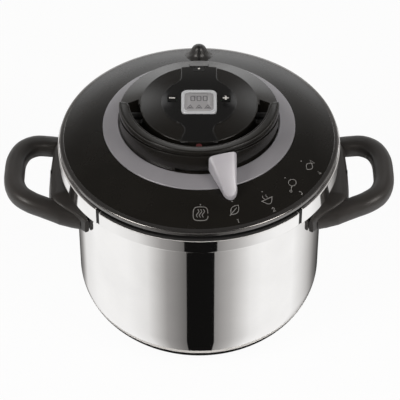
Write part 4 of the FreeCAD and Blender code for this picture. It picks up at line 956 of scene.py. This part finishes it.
class COOKER_OT_marks(bpy.types.Operator):
    """Prints the scale on the cover: a dot, a figure and a numeral for each setting, and a steam mark."""

    bl_idname = "cooker.marks"
    bl_label = "Scale Marks"

    def execute(self, context):
        colours, width = context.scene.cooker_colours, in_mm(context.scene.cooker_lid).stroke
        dots, figures, numbers = 99, 107, 116.6
        figure_scale, number_scale, lowest, step = 1.35, 1.5, 0.1, 0.012
        columns = (-1.8, 0, 1.8)
        steam = [bow(x, -2.4, x, 0.2, 0.3) for x in columns] + [bow(x, 0.2, x, 2.8, -0.3) for x in columns]
        leaf = [bow(-3.2, -2.4, 3.2, 2.6, bulge) for bulge in (0.28, -0.28)] + [[(-4, -3), (1.6, 1.3)]]
        bowl = [bow(-3.8, 0.4, 3.8, 0.4, -0.45, 13), [(-4.2, 0.4), (4.2, 0.4)],
                bow(-1.4, 1.2, -1.4, 3.4, 0.25), bow(1.2, 1.2, 1.2, 3.4, 0.25)]
        joint = [ring_path(1.2, 0.9, 2.9, 2.2, count=24), [(-1.2, -0.6), (-3.8, -2.4)],
                 ring_path(-4.2, -2.7, 0.7, 0.7, count=12)]
        fish = [bow(-3.4, 0, 3.4, 0, bulge, 13) for bulge in (0.3, -0.3)]
        fish += [[(3.2, 0), (5, 1.7), (5, -1.7), (3.2, 0)]]
        settings = ((0.7, steam, None), (16.5, leaf, "1"), (33, bowl, "2"), (48.5, joint, "3"),
                    (63.5, fish, "4"))
        strokes = []
        for angle, drawing, numeral in settings:
            strokes.append(([(-0.45, 0), (0.45, 0)], dots, angle, 0.9))
            strokes += [(np.asarray(path) * figure_scale, figures, angle, width) for path in drawing]
            if numeral is None:
                strokes.append((ring_path(0, 0, 6.2, 6.0, power=0.55, count=40), figures, angle, width))
            for path in NUMERALS.get(numeral, ()):
                strokes.append((np.asarray(path) * number_scale, numbers, angle, width))
        parts = [self.stroke(*row, lowest + step * (i % 5)) for i, row in enumerate(strokes)]
        piece("scale_marks", stacked(*parts), mark_grey(colours), "pot", closed=False)
        return {"FINISHED"}

    def stroke(self, path, radius, angle, width, lift):
        """One printed stroke, wrapped on the cover; a long path whose ends meet is closed."""
        path = np.asarray(path, float)
        loop = len(path) > 10 and np.linalg.norm(path[0] - path[-1]) < 0.9
        flat, faces = ribbon(path, width, loop)
        return on_cover(flat, radius, angle, lift), faces


class COOKER_OT_finishes(bpy.types.Operator):
    """Gives each CAD node that stays its node finish, by the record's material slot."""

    bl_idname = "cooker.finishes"
    bl_label = "CAD Finishes"

    def execute(self, context):
        colours = context.scene.cooker_colours
        by_slot = finishes_by_slot(colours)
        dark = {node: dark_steel(colours) for node in ("bail_cranks", "handle_screws")}
        for name, thing in NODES.items():
            thing.data.materials.clear()
            thing.data.materials.append(dark.get(name, by_slot[SLOT_OF[name]]))
        return {"FINISHED"}


class COOKER_OT_stage(bpy.types.Operator):
    """Sets the pale floor, the soft lamps, the reflector cards and the camera, in metres."""

    bl_idname = "cooker.stage"
    bl_label = "Stage"

    def execute(self, context):
        scene = context.scene
        scene.view_settings.view_transform = "Standard"
        self.floor()
        self.cards(in_mm(scene.cooker_pot).radius)
        self.sky(scene)
        for name, where, aim, power in (("left_box", (-1.5, -1.1, 1.5), 0.15, 24),
                                        ("right_box", (1.5, -1.1, 1.5), 0.15, 22),
                                        ("front_box", (0, -1.9, 2.3), 0.2, 12)):
            lamp = bpy.data.lights.new(name, "AREA")
            lamp.size, lamp.energy, lamp.color = 0.9, power, (1, 0.96, 0.92)
            made = self.aimed(name, lamp, where, aim)
            made.visible_glossy = name != "front_box"
        lens = bpy.data.cameras.new("photo_camera")
        lens.lens, lens.sensor_width, lens.shift_x = 177.0, 36.0, 0.0025
        lens.clip_start, lens.clip_end = 0.05, 50
        scene.camera = self.aimed("photo_camera", lens, (0, -1.3077, 1.3553), 0.1183)
        return {"FINISHED"}

    def aimed(self, name, data, where, aim):
        """A lamp or camera that looks from its place at a height on the Z axis."""
        made = shown(name, data)
        made.location = where
        made.rotation_euler = (Vector((0, 0, aim)) - Vector(where)).to_track_quat("-Z", "Y").to_euler()
        return made

    def blank(self, owner, output):
        """The nodes, the links and a new output of a material or world whose node tree is cleared."""
        owner.use_nodes = True
        nodes, links = owner.node_tree.nodes, owner.node_tree.links
        nodes.clear()
        return nodes, links, nodes.new(output)

    def floor(self):
        """A flat pale floor: camera rays see it nearly white, other rays see a matt pale surface."""
        side = np.linspace(-4, 4, 9)
        points, faces = sheet(*np.meshgrid(side, side, indexing="ij"), -0.0004)
        mesh = bpy.data.meshes.new("floor")
        mesh.from_pydata(points.tolist(), [], faces)
        made = bpy.data.materials.new("floor_white")
        nodes, links, out = self.blank(made, "ShaderNodeOutputMaterial")
        mix, rays = nodes.new("ShaderNodeMixShader"), nodes.new("ShaderNodeLightPath")
        matt, glow = nodes.new("ShaderNodeBsdfDiffuse"), nodes.new("ShaderNodeEmission")
        matt.inputs["Color"].default_value = (0.86, 0.86, 0.86, 1)
        scale = nodes.new("ShaderNodeMath")
        scale.operation = "MULTIPLY"
        scale.inputs[1].default_value = 0.95
        links.new(rays.outputs["Is Camera Ray"], scale.inputs[0])
        links.new(scale.outputs[0], mix.inputs["Fac"])
        links.new(matt.outputs[0], mix.inputs[1])
        links.new(glow.outputs[0], mix.inputs[2])
        links.new(mix.outputs[0], out.inputs["Surface"])
        mesh.materials.append(made)
        shown("floor", mesh)

    def card(self, name, points, tone):
        """One glowing card over points in millimetres, for reflections alone; its points hold its tone."""
        mesh = bpy.data.meshes.new(name)
        mesh.from_pydata((points.reshape(-1, 3) * MM).tolist(), [], quads(*points.shape[:2]))
        shade = mesh.color_attributes.new("tone", "FLOAT_COLOR", "POINT")
        level = np.broadcast_to(tone, points.shape[:2]).ravel()
        warm = 1 - 0.06 * np.clip(1 - level, 0, 1)
        tints = np.stack([level, level * warm ** 0.6, level * warm, np.ones_like(level)], -1)
        shade.data.foreach_set("color", tints.astype(np.float32).ravel())
        made = bpy.data.materials.new(name)
        nodes, links, out = self.blank(made, "ShaderNodeOutputMaterial")
        glow, read = nodes.new("ShaderNodeEmission"), nodes.new("ShaderNodeAttribute")
        read.attribute_name = "tone"
        links.new(read.outputs["Color"], glow.inputs["Color"])
        links.new(glow.outputs[0], out.inputs["Surface"])
        mesh.materials.append(made)
        thing = shown(name, mesh)
        thing.visible_camera = thing.visible_diffuse = thing.visible_shadow = False

    def cards(self, wall):
        """Cards for the reflections: on the floor a graded sheet, white to the sides and grey in front, with
        a dark strip on it, a dark sheet of painted shade under the pot, a bright wall low behind and two soft
        patches high up.
        On the floor the point at distance d and heading b lies where the wall at heading b / 2 mirrors it."""
        left = ((0, 12, 30, 50, 72, 116, 138, 150, 166, 180),
                (0.155, 0.165, 0.36, 0.88, 1.03, 1.03, 0.86, 0.32, 0.07, 0.05))
        right = ((0, 14, 30, 50, 62, 100, 116, 128, 144, 160, 180),
                 (0.22, 0.27, 0.5, 0.95, 1.04, 1.04, 0.8, 0.58, 0.22, 0.06, 0.05))
        for name, low, high, lift in (("graded_card", -180, 180, 0.4), ("dark_card", -11.6, 14.4, 0.8)):
            heading, d = np.meshgrid(np.linspace(low, high, 181), np.linspace(1, 460, 8), indexing="ij")
            b = np.radians(heading)
            x, y = wall * np.sin(b / 2) + d * np.sin(b), -(wall * np.cos(b / 2) + d * np.cos(b))
            graded = np.where(heading < 0, np.interp(-heading, *left), np.interp(heading, *right))
            tone = graded if name == "graded_card" else 0.006
            self.card(name, np.stack([x, y, np.full_like(x, lift)], -1), tone)
        # The dark sheet under the pot is painted shade, seen in the pot's lowest curve.
        t, q = np.meshgrid(np.linspace(0, 2 * np.pi, 64), np.linspace(60, 103, 4), indexing="ij")
        self.card("under_shade_card", np.stack([q * np.cos(t), q * np.sin(t), np.full_like(t, 0.6)], -1), 0.01)
        a, b = np.meshgrid(np.linspace(-900, 900, 9), np.linspace(60, 420, 5), indexing="ij")
        self.card("back_card", np.stack([a, 1000 - 0.0002 * a ** 2, b], -1), 1.3)
        side = np.linspace(-1, 1, 9)
        a, b = np.meshgrid(side, side, indexing="ij")
        rise, far, wide, tall, tone = math.radians(37), 2000, 300, 200, 3.2
        for name, turn in (("left_patch", -18), ("right_patch", 18)):
            h = math.radians(turn)
            level, across = np.array([math.sin(h), math.cos(h), 0]), np.array([math.cos(h), -math.sin(h), 0])
            away = math.cos(rise) * level + np.array([0, 0, math.sin(rise)])
            up = np.array([0, 0, math.cos(rise)]) - math.sin(rise) * level
            middle = np.array([0, 0, 230]) + far * away
            points = middle + wide * a[..., None] * across + tall * b[..., None] * up
            self.card(name, points, tone * (1 - a ** 2) * (1 - b ** 2))

    def sky(self, scene):
        """A world that is white to the camera, bright at the rear horizon, dim overhead and dark in front."""
        scene.world = bpy.data.worlds.new("studio")
        nodes, links, out = self.blank(scene.world, "ShaderNodeOutputWorld")
        mix, rays = nodes.new("ShaderNodeMixShader"), nodes.new("ShaderNodeLightPath")
        where, parts = nodes.new("ShaderNodeTexCoord"), nodes.new("ShaderNodeSeparateXYZ")
        ramp, front = nodes.new("ShaderNodeValToRGB"), nodes.new("ShaderNodeMapRange")
        room, white = nodes.new("ShaderNodeBackground"), nodes.new("ShaderNodeBackground")
        white.inputs["Color"].default_value = (1, 1, 1, 1)
        tune(front, {"From Min": -0.2, "From Max": 0.3, "To Min": 0.15, "To Max": 1.0})
        stops = ramp.color_ramp.elements
        for place, tone in ((0.0, 1.0), (1.0, 0.1), (0.18, 0.8), (0.38, 0.3), (0.55, 0.12)):
            stop = stops[-int(place)] if place in (0, 1) else stops.new(place)
            stop.color = (tone, tone * 0.97, tone * 0.94, 1)
        links.new(where.outputs["Generated"], parts.inputs[0])
        links.new(parts.outputs["Z"], ramp.inputs["Fac"])
        links.new(parts.outputs["Y"], front.inputs["Value"])
        links.new(ramp.outputs["Color"], room.inputs["Color"])
        links.new(front.outputs["Result"], room.inputs["Strength"])
        links.new(rays.outputs["Is Camera Ray"], mix.inputs["Fac"])
        links.new(room.outputs[0], mix.inputs[1])
        links.new(white.outputs[0], mix.inputs[2])
        links.new(mix.outputs[0], out.inputs["Surface"])


OPERATORS = (
    COOKER_OT_finishes, COOKER_OT_pot, COOKER_OT_handles, COOKER_OT_band, COOKER_OT_cover, COOKER_OT_hub,
    COOKER_OT_bail, COOKER_OT_selector, COOKER_OT_outlet, COOKER_OT_springs, COOKER_OT_timer, COOKER_OT_marks,
    COOKER_OT_stage,
)


class COOKER_PT_sidebar(bpy.types.Panel):
    """Lists the cooker's sizes, colours and pieces in the 3D view's sidebar."""

    bl_idname = "COOKER_PT_sidebar"
    bl_label = "Pressure Cooker"
    bl_space_type = "VIEW_3D"
    bl_region_type = "UI"
    bl_category = "Cooker"

    def draw(self, context):
        for group, kind in GROUPS.items():
            box = self.layout.box()
            for name in kind.__annotations__:
                box.prop(getattr(context.scene, group), name)
        for kind in OPERATORS:
            self.layout.operator(kind.bl_idname)


CLASSES = (*GROUPS.values(), *OPERATORS, COOKER_PT_sidebar)


def register():
    """Registers the classes and hangs the groups of settings on the scene."""
    for kind in CLASSES:
        bpy.utils.register_class(kind)
    for group, kind in GROUPS.items():
        setattr(bpy.types.Scene, group, bpy.props.PointerProperty(type=kind))


def unregister():
    """Takes away what register added."""
    for group in GROUPS:
        delattr(bpy.types.Scene, group)
    for kind in reversed(CLASSES):
        bpy.utils.unregister_class(kind)


def main():
    """Builds every piece and the stage."""
    register()
    for kind in OPERATORS:
        group, name = kind.bl_idname.split(".")
        getattr(getattr(bpy.ops, group), name)()


if __name__ == "__main__":
    main()
